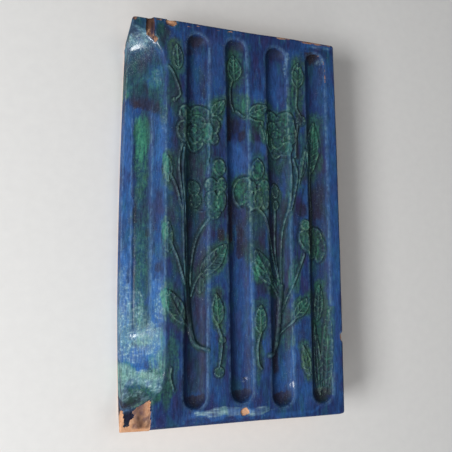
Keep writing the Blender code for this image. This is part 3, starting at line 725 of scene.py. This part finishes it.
# Dark slip that ran down: centre line, top, bottom, half width and strength
DRIPS = (
    (93.5, 104, 70, 3.4, 0.9), (106, 84, 72, 3.6, 0.8), (100, 96, 78, 5, 0.7), (93, 40, -22, 4, 0.9),
    (104, 12, -36, 3.8, 0.8), (98, 30, -6, 4, 0.5), (84, -6, -22, 4, 0.8), (76, -2, -18, 3, 0.4),
    (122, -56, -68, 7, 0.55), (136.5, -112, -138, 3.8, 0.8), (160, 96, 58, 2.6, 0.8), (163, 20, 2, 7, 0.7),
    (157, 28, -6, 3, 0.5), (181, 44, 2, 9.5, 0.7), (174, 40, -30, 2.6, 0.6), (81, -60, -70, 3.5, 0.6),
    (61, 164, 155, 8.5, 0.7), (99, 166, 156, 9, 0.5), (140, 163, 154, 9, 0.5), (179, 164, 155, 9, 1),
    (61, -152, -161, 8.5, 0.8), (103, -150, -159, 8.5, 0.7), (142, -153, -165, 9, 0.8),
    (182, -152, -165, 9, 0.7), (69, 148, 108, 3, 0.4), (56, 154, 146, 4, 0.5), (174, 120, 78, 3, 0.4),
    (168, 60, 34, 2.6, 0.4), (131, 30, -30, 2.4, 0.5), (62, -110, -150, 8, 0.35), (80, -120, -146, 5, 0.25),
    (47, -128, -162, 5, 0.3), (160, -96, -112, 5, 0.35), (88, 30, -2, 2.4, 0.5),
    # the chamfer
    (4.5, -150, -172, 5, 0.85), (13, 108, 98, 3.8, 1), (17.5, 110, 96.5, 4, 1), (22, 107, 94, 3.8, 1),
    (26, 104, 90.5, 3.4, 0.95), (29, 98, 89, 2.6, 0.5), (9.5, 110, 101, 2.6, 0.6), (29, 30, 2, 3, 0.35),
    (25, 22, -14, 2, 0.55), (29, -38, -48, 2.8, 0.6), (24.5, -8, -34, 1.8, 0.4), (4, 10, -28, 2, 0.3),
    (8, 8, -6, 1.5, 0.5), (12.4, 20, -4, 1.7, 0.6), (21.5, -8, -18, 1.9, 0.5), (7.6, -32, -58, 1.3, 0.6),
    (27, 24, 8, 1.6, 0.3), (24, -90, -102, 1.4, 0.2), (31, -88, -98, 2.4, 0.4), (13, -104, -110, 1.8, 0.5),
    (22, -120, -128, 3, 0.3),
)

# Thin glaze, paler and bluer, and painted light: the lit right shoulders of the flutes, the chamfer's
# edges, its bright lower end and the rims
THIN_AND_LIT_PATCHES = (
    (100, 56, 10, 18, 0.7), (104, 0, 8, 40, 0.15), (103, -80, 9, 66, 0.25), (112, -30, 4, 40, 0.3),
    (80, 140, 7, 28, 0.3), (120, 62, 8, 9, 0.6), (141, 130, 9, 22, 0.3), (80, -140, 8, 26, 0.2),
    (5, 66, 4.5, 34, 0.6), (30, 66, 4, 26, 0.6), (6, -84, 5, 36, 0.9), (29, -90, 5, 30, 0.8),
    (198, 0, 6, 180, 0.45), (187, 130, 5, 30, 0.15), (192, -20, 5, 26, 0.3), (162, -150, 12, 18, 0.3),
    (142, -140, 8, 22, 0.3), (92, 150, 3, 12, 0.2), (22, 132, 4, 8, 0.3), (5, 10, 4, 40, 0.3),
    (124, -110, 5, 40, 0.3), (158, 156, 10, 10, 0.2), (62, 130, 8, 20, 0.25), (18, -104, 18, 16, 1),
    (16, -138, 18, 14, 0.9), (80, -167, 30, 3.5, 0.8), (150, -169, 40, 2.5, 0.4),
    (152.5, -130, 2.5, 26, 0.6), (112.5, -60, 2.5, 60, 0.5), (73, -90, 2, 50, 0.5), (194, -90, 3, 60, 0.5),
    (113, 50, 5, 14, 0.5), (113, -62, 4, 14, 0.5), (27, 122, 5, 12, 0.7), (3, 70, 5, 22, 0.35),
    (30, 74, 4, 14, 0.5), (6, -50, 6, 26, 0.9), (29, -68, 6, 20, 0.9), (9.4, 0, 0.9, 60, 0.8),
    (174, 80, 4, 60, 0.4), (122, 112, 7, 10, 0.5), (96, -166, 22, 3.6, 0.9), (185, 172, 20, 4, 0.5),
    (158, -110, 4, 22, 0.4), (18, -70, 10, 12, 0.5), (170, 30, 3, 40, 0.3), (0.6, 0, 0.9, 100, 0.5),
    (15, -104, 20, 30, 0.8), (18, -60, 6, 18, 0.3),
)

# Painted shadow along the side of a stem or a leaf's edge turned from the light, told as the stems are
PAINTED_SHADOW_LINES = (
    (40, -18, 44, -27, 47, -36, 49.5, -46), (37, -69, 44.6, -79, 50.6, -89, 56.7, -100),
    (56.7, -100, 60, -105, 64, -109, 70.5, -113), (53.2, -60, 54.5, -74, 56.5, -90),
    (62.8, -56, 66, -50, 70, -44, 77, -35.6, 86, -26.5), (126, 1, 131, -14, 137, -32, 143, -48, 146, -61),
    (117, -28, 122, -36, 131, -46), (145, -61, 144, -76, 142.5, -92, 141, -102),
    (174.6, 44, 175.8, 20, 175.6, 0, 175.4, -40, 174.8, -70), (174, -90, 173.4, -120, 173.6, -150),
    (39, 52, 43.5, 36, 46.5, 22, 49, 6), (149, -62, 146, -76, 143, -84),
    (50.8, 58, 48.6, 30, 49.8, 0, 51, -40), (98.4, 124, 97, 112, 99, 104),
    (132, -112, 136, -118, 139, -121), (166, 30, 163, 12, 158, -20, 160, -44),
    (121.8, -102, 119.6, -116, 121, -130), (85.2, -104, 85.6, -116, 83.4, -128),
    (153.4, 60, 155.6, 44, 154.2, 20, 149.6, 0), (64, 60, 69, 63, 71.5, 70),
)

# Where the glaze is rubbed through to the clay in a line: points, half width, strength
SCRATCHES = (
    ((185, 164.2, 189, 162, 192, 157, 192.6, 148, 192.8, 137), 0.75, 0.5),
    ((160, 176.3, 170, 175.6, 180, 176, 188, 175.6), 1.2, 0.45),
    ((186, 166, 192, 165.4, 196, 162), 0.6, 0.42),
)

PATCH_EDGE = (0.62, 1.12)  # a patch fades out over these shares of its reach
DRIP_EDGE = (0.6, 1.2)  # the same of a drip, across it
DRIP_FADE = (0.45, 1.0)  # and up it
# The green on the plants: its strength, and where it fades, in millimetres or shares of a reach
STEM_PAINT = (0.6, 1.5, 4.5)
LEAF_PAINT = (0.8, 0.5, 1.7)
PETAL_PAINT = (0.8, 0.8, 1.6)


def patch_mask(x, y, patches, seed, wander=3.0):
    """How much of a colour lies at each point, from patches with soft, wandering edges."""
    px = x + wander * clouds(x, y, 11.0, seed)
    py = y + 1.5 * wander * clouds(x, y, 13.0, seed + 5)
    mask = np.zeros(x.shape)
    for centre_x, centre_y, half_x, half_y, strength in patches:
        t = np.hypot((px - centre_x) / half_x, (py - centre_y) / half_y)
        mask = np.maximum(mask, strength * smooth_fall(*PATCH_EDGE, t))
    return mask


def drip_mask(x, y):
    """Drips fade out upwards and end below in a round, fairly crisp edge."""
    px = x + 1.2 * clouds(x, y, 8.0, 41)
    py = y + 1.5 * clouds(x, y, 9.0, 42) + 2.0 * clouds(x, 0.2 * y, 2.6, 43)
    mask = np.zeros(x.shape)
    for centre, top, bottom, half, strength in DRIPS:
        above = py - bottom - half
        t = np.clip(above / max(top - bottom - half, 1), 0, 1)
        away = np.hypot(px - centre, np.minimum(above, 0))
        fade = 1 - 0.9 * smooth_step(*DRIP_FADE, t)
        drip = strength * smooth_fall(*DRIP_EDGE, away / half) * fade
        mask = np.maximum(mask, drip * (py < top + 6))
    return mask


# Where painted shadow lies beside the stems and leaves
def painted_shadow_mask(x, y):
    mask = np.zeros(x.shape)
    for here, away, _ in along_strokes(x, y, PAINTED_SHADOW_LINES, 4):
        strength = 0.75 + 0.4 * clouds(x[here], y[here], 9.0, 81)
        raise_to(mask, here, strength * smooth_fall(0.3, 1.9, away))
    return np.clip(mask, 0, 1)


def paint(strength, full, gone, away):
    return strength * smooth_fall(full, gone, away)


def relief_paint(x, y):
    """The green laid on the plants, a little wider than their relief."""
    mask = np.zeros(x.shape)
    wide_x = x + 1.0 * clouds(x, y, 6.0, 51)
    for here, away, _ in along_strokes(wide_x, y, STEMS + TRUNKS, 8):
        raise_to(mask, here, paint(*STEM_PAINT, away))
    for base_x, base_y, tip_x, tip_y, half in LEAVES:
        here = near(x, y, (((base_x + tip_x) / 2, (base_y + tip_y) / 2),), 40)
        away = capsule_distance(wide_x[here], y[here], (base_x, base_y), (tip_x, tip_y))
        raise_to(mask, here, paint(*LEAF_PAINT, away / half))
    for centre_x, centre_y, half_x, half_y, *_ in PETALS:
        t = np.hypot((wide_x - centre_x) / half_x, (y - centre_y) / half_y)
        mask = np.maximum(mask, paint(*PETAL_PAINT, t))
    return mask * smooth_step(CHAMFER - 5, CHAMFER, x)


RASTER = 0.6  # the step of the height map that the glaze's pooling is read from
RASTER_PAST = 8.0  # how far that map runs out past the face
POOL_RADII = (1.0, 3.2)  # over which the face is blurred, closely and from further off


def soften(heights, radius):
    """The height map blurred over this many millimetres."""
    reach = np.arange(-3 * radius, 3 * radius + RASTER, RASTER)
    weights = np.exp(-0.5 * (reach / radius) ** 2)
    weights /= weights.sum()
    half = len(reach) // 2
    for axis in (0, 1):
        pad = [(0, 0), (0, 0)]
        pad[axis] = (half, half)
        wide = np.pad(heights, pad, mode="edge")
        rolled = sum(np.roll(wide, half - i, axis) * w for i, w in enumerate(weights))
        heights = rolled[half:-half] if axis == 0 else rolled[:, half:-half]
    return heights


def read_map(values, x, y, low):
    """The map's value at each point."""
    u = np.clip((x - low[0]) / RASTER, 0, values.shape[0] - 1.001)
    v = np.clip((y - low[1]) / RASTER, 0, values.shape[1] - 1.001)
    i, j = u.astype(int), v.astype(int)
    s, t = u - i, v - j
    near_row = values[i, j] * (1 - t) + values[i, j + 1] * t
    far_row = values[i + 1, j] * (1 - t) + values[i + 1, j + 1] * t
    return near_row * (1 - s) + far_row * s


def glaze_form(x, y):
    """How far each point stands over the face round it: closely, and from further off."""
    low = (-RASTER_PAST, -HEIGHT / 2 - RASTER_PAST)
    across = np.arange(low[0], WIDTH + RASTER_PAST, RASTER)
    up = np.arange(low[1], HEIGHT / 2 + RASTER_PAST, RASTER)
    gx, gy = np.meshgrid(across, up, indexing="ij")
    inner_x = np.clip(gx, 0, WIDTH)
    inner_y = np.clip(gy, -HEIGHT / 2 + 3, HEIGHT / 2 - 3)
    heights = face_height(inner_x.ravel(), inner_y.ravel()).reshape(gx.shape)
    fine, broad = (soften(heights, radius) for radius in POOL_RADII)
    return read_map(heights - fine, x, y, low), read_map(fine - broad, x, y, low)


def chamfer_end(x):
    """How far below mid height the lower stop's edge lies at this distance from the corner."""
    t = np.clip(x / CHAMFER, 0, 1)
    return -STOP_BOTTOM - CHAMFER + CHAMFER * np.sqrt(1 - t * t)


KEPT_LEFT = (0.0, 1.2)  # the glaze left on the flaked block begins over this stretch of x
KEPT_RIGHT = (8.6, 7.4)  # and ends over this one, further right where it is higher
KEPT_FOOT = (-172.5, -171.0)
KEPT_SLANT = 0.25
KEPT_MIDDLE = -164
KEPT_WANDER = 3.0


def kept_glaze(x, y):
    """The ragged dark patch of glaze left on the flaked block."""
    wander_x, wander_y = (v + KEPT_WANDER * clouds(x, y, 3.5, seed) for v, seed in ((x, 61), (y, 62)))
    slanted = wander_x - KEPT_SLANT * (y - KEPT_MIDDLE)
    across = smooth_step(*KEPT_LEFT, wander_x) * smooth_step(*KEPT_RIGHT, slanted)
    return across * smooth_step(*KEPT_FOOT, wander_y)


def rubbed_top(x, y):
    """The worn upper edge, most of it towards the right."""
    streak = clouds(x, y * 4, 9.0, 64) + 0.35 * bell(x, 170, 26)
    below = HEIGHT / 2 - y - 0.02 * (WIDTH - x)
    return 0.75 * smooth_step(0.1, 0.5, streak) * smooth_step(3.6, 2.0, below)


def bare_clay(x, y, z, depth, side):
    """Where no glaze covers the clay: breaks, the back, and below the run on the sides."""
    chipped = np.maximum.reduce([chip_share(x, y, chip) for chip in CHIPS])
    kept = 1 - 0.95 * kept_glaze(x, y)
    flake = flaked(x, y) * (z < -2.0) * (y < -chamfer_end(x)) * kept
    bare = np.maximum.reduce([chipped, notched(x, y) & (depth < 3), flake, rubbed_top(x, y)])
    for points, half, strength in SCRATCHES:
        for here, away, _ in along_strokes(x, y, (points,), 4):
            ragged = strength + 0.5 * clouds(x[here], y[here], 2.2, 65)
            raise_to(bare, here, ragged * smooth_fall(0.3 * half, half, away) * (side[here] == 0))
    left = (side > 0) & (x < left_back(y) + 3) & (np.abs(y) < HEIGHT / 2 - 4)
    mean, swing, size = GLAZE_RUN
    run = np.where(left, DEPTH + 1, mean + swing * clouds(x + y, 0 * z, size, 63))
    bare = np.maximum(bare, smooth_step(run - 0.5, run + 0.5, depth) * (side > 0))
    return np.maximum(bare, side < 0)


BURN_LEAN = 50  # degrees that the dark streaks on the flaked block are turned
BURN_MIDDLE = (13.5, 5.0)  # where it is darkest, and how far that spreads
BURN_LEFT = (6.5, 9.0)  # it begins over this stretch of x
BURN_FOOT = (-174.5, -172.5)


def burnt_clay(x, y):
    """Where the bared clay is stained dark by slip or smoke."""
    along, across = turned(x, y, BURN_LEAN)
    streaks = 0.8 * smooth_step(-0.6, 0.4, clouds(0.4 * along, across, 3.0, 74))
    middle = bell(x, *BURN_MIDDLE) * (0.85 + 0.3 * clouds(x, y, 3.0, 71))
    block = smooth_step(*BURN_LEFT, x) * smooth_step(*BURN_FOOT, y) * flaked(x, y)
    flake = np.maximum(streaks, middle) * block
    notch = smooth_step(-1.0, 0.5, clouds(x, y, 3.0, 72) + 0.05 * (y - 160) + 0.4 * (x > 22.5))
    notch = 0.95 * notch * (y > 140) * (x < 28)
    chip = 0.8 * smooth_step(0.5, -0.5, clouds(x, y, 3.0, 73)) * (y > 168) * (x > 30)
    worn = 0.42 * ((y > HEIGHT / 2 - 4) & (x > 60) | (y > 130) & (x > 158))
    return np.maximum.reduce([flake, notch, chip, worn])


EDGE_INSET = 0.05  # points are read this far inside the outline
SKIN = 0.6  # what lies deeper below the face is a side
GLAZE_RUN = (7, 6, 22.0)  # down the sides: how far, give or take, and the size of its waves
ARRIS = (2.5, 0.7)  # the chamfer's edge at its stops: how wide, and how much less it is rubbed
STOPS = (80, 110)  # from mid height, where those stops begin
RIDGE_RANGE, SWELL_RANGE = 0.5, 2.4  # the differences of height that the masks reach over


def keep_masks(mesh):
    """Works out the colours' masks at each point and keeps them on the mesh."""
    flat = np.empty(len(mesh.vertices) * 3)
    mesh.vertices.foreach_get("co", flat)
    x, y, z = (flat.reshape(-1, 3).T / MM) + np.array([[MIDDLE], [0], [-DEPTH - LOW.z / MM]])
    inner_x = np.clip(x, left_edge(y) + EDGE_INSET, right_edge(y) - EDGE_INSET)
    inner_y = np.clip(y, bottom_edge(inner_x) + EDGE_INSET, top_edge(inner_x) - EDGE_INSET)
    depth = face_height(inner_x, inner_y) - z
    margin = np.minimum(np.minimum(x - left_edge(y), right_edge(y) - x), HEIGHT / 2 - np.abs(y))
    # 0 on the face, 1 down the outer sides, -1 in the hollow and on the back rim
    side = np.where(depth < SKIN, 0, np.where(margin < WALL - 2, 1, -1))
    side = np.where(z < -DEPTH + 0.2, -1, side)
    ridge, swell = glaze_form(inner_x, inner_y)
    width, less = ARRIS
    arris = bell(inner_x, chamfer_leg(inner_y), width) * smooth_step(*STOPS, np.abs(inner_y))
    ridge = ridge * (1 - less * arris)
    masks = {
        "drip": drip_mask(inner_x, inner_y),
        "bare": bare_clay(x, y, z, depth, side),
        "burnt": burnt_clay(inner_x, inner_y) * (side == 0),
        "painted_shadow": painted_shadow_mask(inner_x, inner_y),
        "worn": np.maximum(smooth_step(CHAMFER - 8, CHAMFER + 2, inner_x), 1.6 * (side != 0)),
        "ridge": np.clip(0.5 + ridge / RIDGE_RANGE, 0, 1),
        "swell": np.clip(0.5 + swell / SWELL_RANGE, 0, 1),
    }
    for name, patches, seed, wander in (
        ("green", GREEN_PATCHES, 31, 3.0),
        ("dusk", DUSK_PATCHES, 32, 4.0),
        ("pale", THIN_AND_LIT_PATCHES, 33, 4.0),
        ("leafy", LEAFY_PATCHES, 34, 1.6),
        ("milk_and_sheen", MILK_AND_SHEEN_PATCHES, 35, 2.5),
        ("gloss_and_glints", GLOSS_AND_GLINT_PATCHES, 36, 1.5),
    ):
        masks[name] = patch_mask(inner_x, inner_y, patches, seed, wander)
    masks["green"] = np.maximum(masks["green"], relief_paint(inner_x, inner_y))
    masks["gloss_and_glints"] = masks["gloss_and_glints"] * (side == 0)
    for name, values in masks.items():
        attribute = mesh.attributes.new(name, "FLOAT", "POINT")
        attribute.data.foreach_set("value", values.astype(np.float32))


# Materials


class Nodes:
    """A new material, and short calls that add nodes to it."""

    def __init__(self, name):
        self.material = bpy.data.materials.new(name)
        self.material.use_nodes = True
        self.tree = self.material.node_tree
        self.shader = self.tree.nodes["Principled BSDF"]
        self.at = self.tree.nodes.new("ShaderNodeTexCoord").outputs["Object"]

    def add(self, kind, sockets, **settings):
        """A node with these settings and what its sockets are fed."""
        node = self.tree.nodes.new(kind)
        for name, value in settings.items():
            setattr(node, name, value)
        self.feed(node, sockets)
        return node

    def feed(self, node, sockets):
        """Feeds sockets, told by name or number, with values or other nodes' outputs."""
        for key, value in sockets.items():
            if isinstance(value, bpy.types.NodeSocket):
                self.tree.links.new(value, node.inputs[key])
            elif node.inputs[key].type == "RGBA":
                node.inputs[key].default_value = (*value, 1)
            else:
                node.inputs[key].default_value = value

    def mask(self, name):
        return self.add("ShaderNodeAttribute", {}, attribute_name=name).outputs["Fac"]

    def noise(self, size, stretch=(1, 1, 1), detail=3.0, rough=0.55):
        """Noise with grains about this many millimetres across."""
        scale = [s / (size * MM) for s in stretch]
        place = self.add("ShaderNodeMapping", {"Vector": self.at, "Scale": scale})
        sockets = {"Vector": place.outputs[0], "Scale": 1.0, "Detail": detail, "Roughness": rough}
        return self.add("ShaderNodeTexNoise", sockets).outputs["Fac"]

    def between(self, value, low, high, out_low=0.0, out_high=1.0):
        """A value remapped and clamped."""
        names = ("Value", "From Min", "From Max", "To Min", "To Max")
        given = (value, low, high, out_low, out_high)
        return self.add("ShaderNodeMapRange", dict(zip(names, given))).outputs[0]

    def maths(self, operation, a, b):
        return self.add("ShaderNodeMath", {0: a, 1: b}, operation=operation).outputs[0]

    def plus(self, a, b):
        return self.maths("ADD", a, b)

    def times(self, a, b):
        return self.maths("MULTIPLY", a, b)

    def blend(self, share, a, b, way="MIX"):
        """Colour a where share is 0 and colour b, or its blend with a, where it is 1."""
        sockets = {0: share, 6: a, 7: b}
        node = self.add("ShaderNodeMix", sockets, data_type="RGBA", blend_type=way)
        return node.outputs[2]

    def lay(self, colour, *layers):
        """Colours laid over a first one in turn, each with its share."""
        for share, tint in layers:
            colour = self.blend(share, colour, tint)
        return colour

    def bump(self, height, strength):
        sockets = {"Height": height, "Strength": strength, "Distance": MM}
        return self.add("ShaderNodeBump", sockets).outputs[0]


# Below, n adds a material's nodes and g holds the glaze's noises, which are made from these:
GRAINS = {  # grain size, stretch, detail and roughness
    "streak": (2.6, (1, 0.16, 1), 5.0, 0.62),
    "drift": (18, (1, 0.35, 1), 3.0, 0.6),
    "mottle": (2.6, (1, 1, 1), 5.0, 0.65),
    "speck": (0.9, (1, 1, 1), 1.0, 0.55),
    "hue": (9, (1, 0.4, 1), 2.0, 0.5),
    "patchy": (4.5, (1, 1, 1), 2.0, 0.55),
    "fine_streak": (1.5, (1, 0.2, 1), 4.0, 0.7),
    "level_streak": (2.2, (0.2, 1, 1), 3.0, 0.6),
}


def fired_clay(n):
    """Open-pored orange earthenware, dustier and paler in places: its colour and its height."""
    broad, fine = n.noise(14), n.noise(1.6, detail=5.0, rough=0.7)
    colour = n.lay(
        n.blend(n.between(broad, 0.35, 0.65), (0.50, 0.24, 0.12), (0.62, 0.36, 0.22)),
        (n.between(fine, 0.5, 0.75, 0.0, 0.6), (0.72, 0.52, 0.38)),
        (n.between(fine, 0.42, 0.28, 0.0, 0.7), (0.26, 0.10, 0.05)),
    )
    return colour, fine


def cobalt_blue(n, g):
    return n.lay(
        n.blend(n.between(g.drift, 0.38, 0.62), (0.011, 0.026, 0.10), (0.012, 0.050, 0.165)),
        (n.between(g.streak, 0.5, 0.78, 0.0, 0.55), (0.034, 0.100, 0.25)),  # light streaks
        (n.between(g.streak, 0.5, 0.28, 0.0, 0.6), (0.020, 0.016, 0.060)),  # dark streaks
        (n.between(g.hue, 0.54, 0.68, 0.0, 0.55), (0.012, 0.062, 0.092)),  # teal
        (n.between(g.hue, 0.46, 0.34, 0.0, 0.5), (0.026, 0.020, 0.080)),  # plum
        (n.times(n.mask("pale"), 0.8), (0.028, 0.108, 0.32)),  # where it is thin, and painted light on lit shoulders, edges and rims
    )


def copper_green(n, g):
    return n.lay(
        n.blend(n.between(g.hue, 0.4, 0.62), (0.014, 0.060, 0.054), (0.026, 0.092, 0.056)),
        (n.between(g.streak, 0.5, 0.75, 0.0, 0.7), (0.040, 0.150, 0.105)),  # light streaks
        (n.between(g.patchy, 0.5, 0.66, 0.0, 0.6), (0.040, 0.140, 0.110)),  # light patches
        (n.between(g.drift, 0.52, 0.66, 0.0, 0.55), (0.048, 0.088, 0.038)),  # olive
        (n.between(g.mottle, 0.53, 0.36, 0.0, 0.85), (0.010, 0.026, 0.030)),  # dark mottle
    )


def milky_glaze_and_sheen(n, g):
    """The share of milky glaze and painted sheen, broken by streaks both ways, and its colour."""
    milk_and_sheen = n.mask("milk_and_sheen")
    share = n.plus(milk_and_sheen, n.between(g.streak, 0.3, 0.7, -0.3, 0.3))
    share = n.plus(share, n.between(g.level_streak, 0.3, 0.7, -0.3, 0.3))
    share = n.times(n.between(share, 0.1, 1.15, 0.0, 0.9), n.between(milk_and_sheen, 0.0, 0.4))
    colour = n.lay(
        n.blend(n.between(g.hue, 0.4, 0.6), (0.12, 0.20, 0.32), (0.13, 0.26, 0.28)),
        (n.between(g.level_streak, 0.52, 0.7, 0.0, 0.8), (0.34, 0.50, 0.51)),  # painted white streaks of reflected light
        (n.mask("leafy"), (0.18, 0.35, 0.25)),  # with copper in it
    )
    return share, colour


def glaze_colour(n, g, ridge):
    """Cobalt blue, with green, dusk, drips and milky glaze with painted sheen laid over it, thin and pale
    on ridges, with painted shadow beside the stems and painted sparkle and glint specks.
    """
    green = n.plus(n.mask("green"), n.between(g.mottle, 0.3, 0.7, -0.12, 0.12))
    green = n.plus(green, n.between(g.streak, 0.3, 0.7, -0.2, 0.2))
    fresh = n.plus(n.mask("leafy"), n.between(g.streak, 0.3, 0.7, -0.35, 0.35))
    dusk = n.times(n.mask("dusk"), n.between(g.streak, 0.3, 0.7, 1.0, 0.6))
    drip = n.times(n.mask("drip"), n.between(g.mottle, 0.3, 0.6, 0.75, 1.0))
    broken = n.between(g.patchy, 0.4, 0.6, 0.1, 1.0)
    thin = n.times(n.between(ridge, 0.62, 0.92, 0.0, 0.55), broken)
    pooled_and_shadow = n.between(ridge, 0.44, 0.15, 0.0, 0.55)
    # painted shadow beside stems and leaves joins the dark of gathered glaze
    pooled_and_shadow = n.maths("MAXIMUM", pooled_and_shadow, n.times(n.mask("painted_shadow"), 0.8))
    colour = n.lay(
        cobalt_blue(n, g),
        (n.between(green, 0.1, 1.0, 0.0, 0.95), copper_green(n, g)),
        (
            n.between(fresh, 0.2, 1.0, 0.0, 0.85),
            n.blend(n.between(g.mottle, 0.35, 0.65), (0.022, 0.13, 0.098), (0.046, 0.22, 0.130)),
        ),
        (dusk, n.blend(n.between(g.hue, 0.4, 0.6), (0.020, 0.018, 0.033), (0.009, 0.030, 0.036))),
        (drip, n.blend(n.between(g.drift, 0.42, 0.58), (0.013, 0.010, 0.024), (0.022, 0.011, 0.011))),
        milky_glaze_and_sheen(n, g),
        (thin, n.blend(n.mask("green"), (0.08, 0.16, 0.28), (0.16, 0.27, 0.17))),
        (pooled_and_shadow, (0.006, 0.011, 0.017)),  # nearly black where glaze gathered, and painted shadow beside stems and leaves
        (n.between(n.mask("swell"), 0.62, 1.0, 0.0, 0.2), (0.05, 0.13, 0.25)),
    )
    brush = n.between(g.fine_streak, 0.3, 0.7, 0.62, 1.42)
    painted_sparkle = n.times(n.between(g.speck, 0.66, 0.76, 0.0, 0.7), n.between(g.drift, 0.4, 0.6, 0.2, 1.0))
    painted_glints = n.times(n.between(g.speck, 0.56, 0.7), n.between(n.mask("gloss_and_glints"), 0.3, 1.0, 0.0, 0.85))
    return n.lay(
        n.blend(1.0, colour, brush, "MULTIPLY"),
        (painted_sparkle, (0.16, 0.22, 0.26)),  # pale specks of painted sparkle
        (painted_glints, (0.26, 0.34, 0.38)),  # whiter painted glint specks where the glaze kept its shine
    )


def glaze_material():
    """Lead glaze in the painter's colours, and the fired clay where it broke off."""
    n = Nodes("cobalt_glaze")
    g = SimpleNamespace(**{name: n.noise(*grain) for name, grain in GRAINS.items()})
    ridge = n.mask("ridge")
    clay, pores = fired_clay(n)
    ragged = n.plus(n.mask("bare"), n.between(g.speck, 0.3, 0.7, -0.2, 0.2))
    bare = n.between(ragged, 0.4, 0.6)
    soot = n.blend(n.between(g.hue, 0.42, 0.58), (0.036, 0.028, 0.070), (0.060, 0.028, 0.022))
    stained = n.blend(n.mask("burnt"), clay, soot)

    dullness = n.between(g.mottle, 0.35, 0.65, 0.16, 0.26)
    for share, added in ((n.mask("worn"), 0.34), (bare, 0.5)):
        dullness = n.plus(dullness, n.times(share, added))
    coat = n.times(n.mask("gloss_and_glints"), 0.9)
    for share in (n.between(bare, 0.0, 1.0, 1.0, 0.0), n.between(g.mottle, 0.4, 0.6, 0.7, 1.0)):
        coat = n.times(coat, share)
    height = n.times(g.mottle, 0.22)
    for form, weight in (
        (g.speck, 0.09),
        (g.fine_streak, 0.14),
        (ridge, 0.7),
        (pores, n.times(bare, 0.8)),
    ):
        height = n.plus(height, n.times(form, weight))

    n.feed(
        n.shader,
        {
            "Base Color": n.blend(bare, glaze_colour(n, g, ridge), stained),
            "Roughness": dullness,
            "Specular IOR Level": 0.14,
            "Coat Weight": coat,
            "Coat Roughness": 0.12,
            "Normal": n.bump(height, 0.6),
        },
    )
    return n.material


def floor_material():
    n = Nodes("pale_floor")
    colour = n.blend(n.noise(9, detail=4.0), (0.66, 0.655, 0.645), (0.72, 0.715, 0.70))
    n.feed(n.shader, {"Base Color": colour, "Roughness": 0.9})
    return n.material


# The pieces


def glazed_tile():
    obj = clay_object("glazed_tile", clay_block())
    cut_hollow(obj)
    keep_masks(obj.data)
    obj.data.shade_smooth()
    obj.data.set_sharp_from_angle(angle=math.radians(SHARP_FROM))
    obj.data.materials.clear()
    obj.data.materials.append(glaze_material())
    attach(obj, "root")
    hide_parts("stove_tile")


FLOOR_SIZE = 4  # metres


def pale_floor():
    bm = bmesh.new()
    bmesh.ops.create_grid(bm, x_segments=1, y_segments=1, size=FLOOR_SIZE)
    obj = new_object("pale_floor", bm)
    obj.location.z = LOW.z
    obj.data.materials.append(floor_material())


# The view and the light

CAMERA_PLACE = (-189.6, -65.5, 511.2)
CAMERA_TURN = (6.86, -20.79, -0.45)  # degrees
SENSOR = 36
LENS = 45.1832
LIGHT_AWAY = 1.6  # metres
LIGHTS = {  # azimuth and elevation in degrees, size in metres, power in watts
    "window": (196, 37, (0.8, 0.5), 24.5),
    "low_fill": (245, 32, (0.9, 0.5), 5.5),
    "high_fill": (30, 80, (0.6, 0.6), 3),
}
ROOM_COLOUR = (0.97, 0.98, 1.0, 1)
ROOM_LIGHT = 0.18


def set_camera():
    data = bpy.data.cameras.new("camera")
    data.sensor_width = SENSOR
    data.lens = LENS
    data.clip_start = 0.02
    camera = put_in_scene("camera", data)
    camera.location = Vector(CAMERA_PLACE) * MM
    camera.rotation_euler = Euler([math.radians(a) for a in CAMERA_TURN])
    bpy.context.scene.camera = camera


def area_light(name, azimuth, elevation, size, power):
    a, e = math.radians(azimuth), math.radians(elevation)
    direction = Vector((math.cos(a) * math.cos(e), math.sin(a) * math.cos(e), math.sin(e)))
    data = bpy.data.lights.new(name, "AREA")
    data.shape = "RECTANGLE"
    data.size, data.size_y = size
    data.energy = power
    light = put_in_scene(name, data)
    light.location = direction * LIGHT_AWAY
    light.rotation_euler = direction.to_track_quat("Z", "Y").to_euler()


def set_light():
    world = bpy.data.worlds.new("room")
    world.use_nodes = True
    background = world.node_tree.nodes["Background"]
    background.inputs["Color"].default_value = ROOM_COLOUR
    background.inputs["Strength"].default_value = ROOM_LIGHT
    bpy.context.scene.world = world
    for name, settings in LIGHTS.items():
        area_light(name, *settings)
    bpy.context.scene.view_settings.view_transform = "Standard"


set_camera()
glazed_tile()
pale_floor()
set_light()
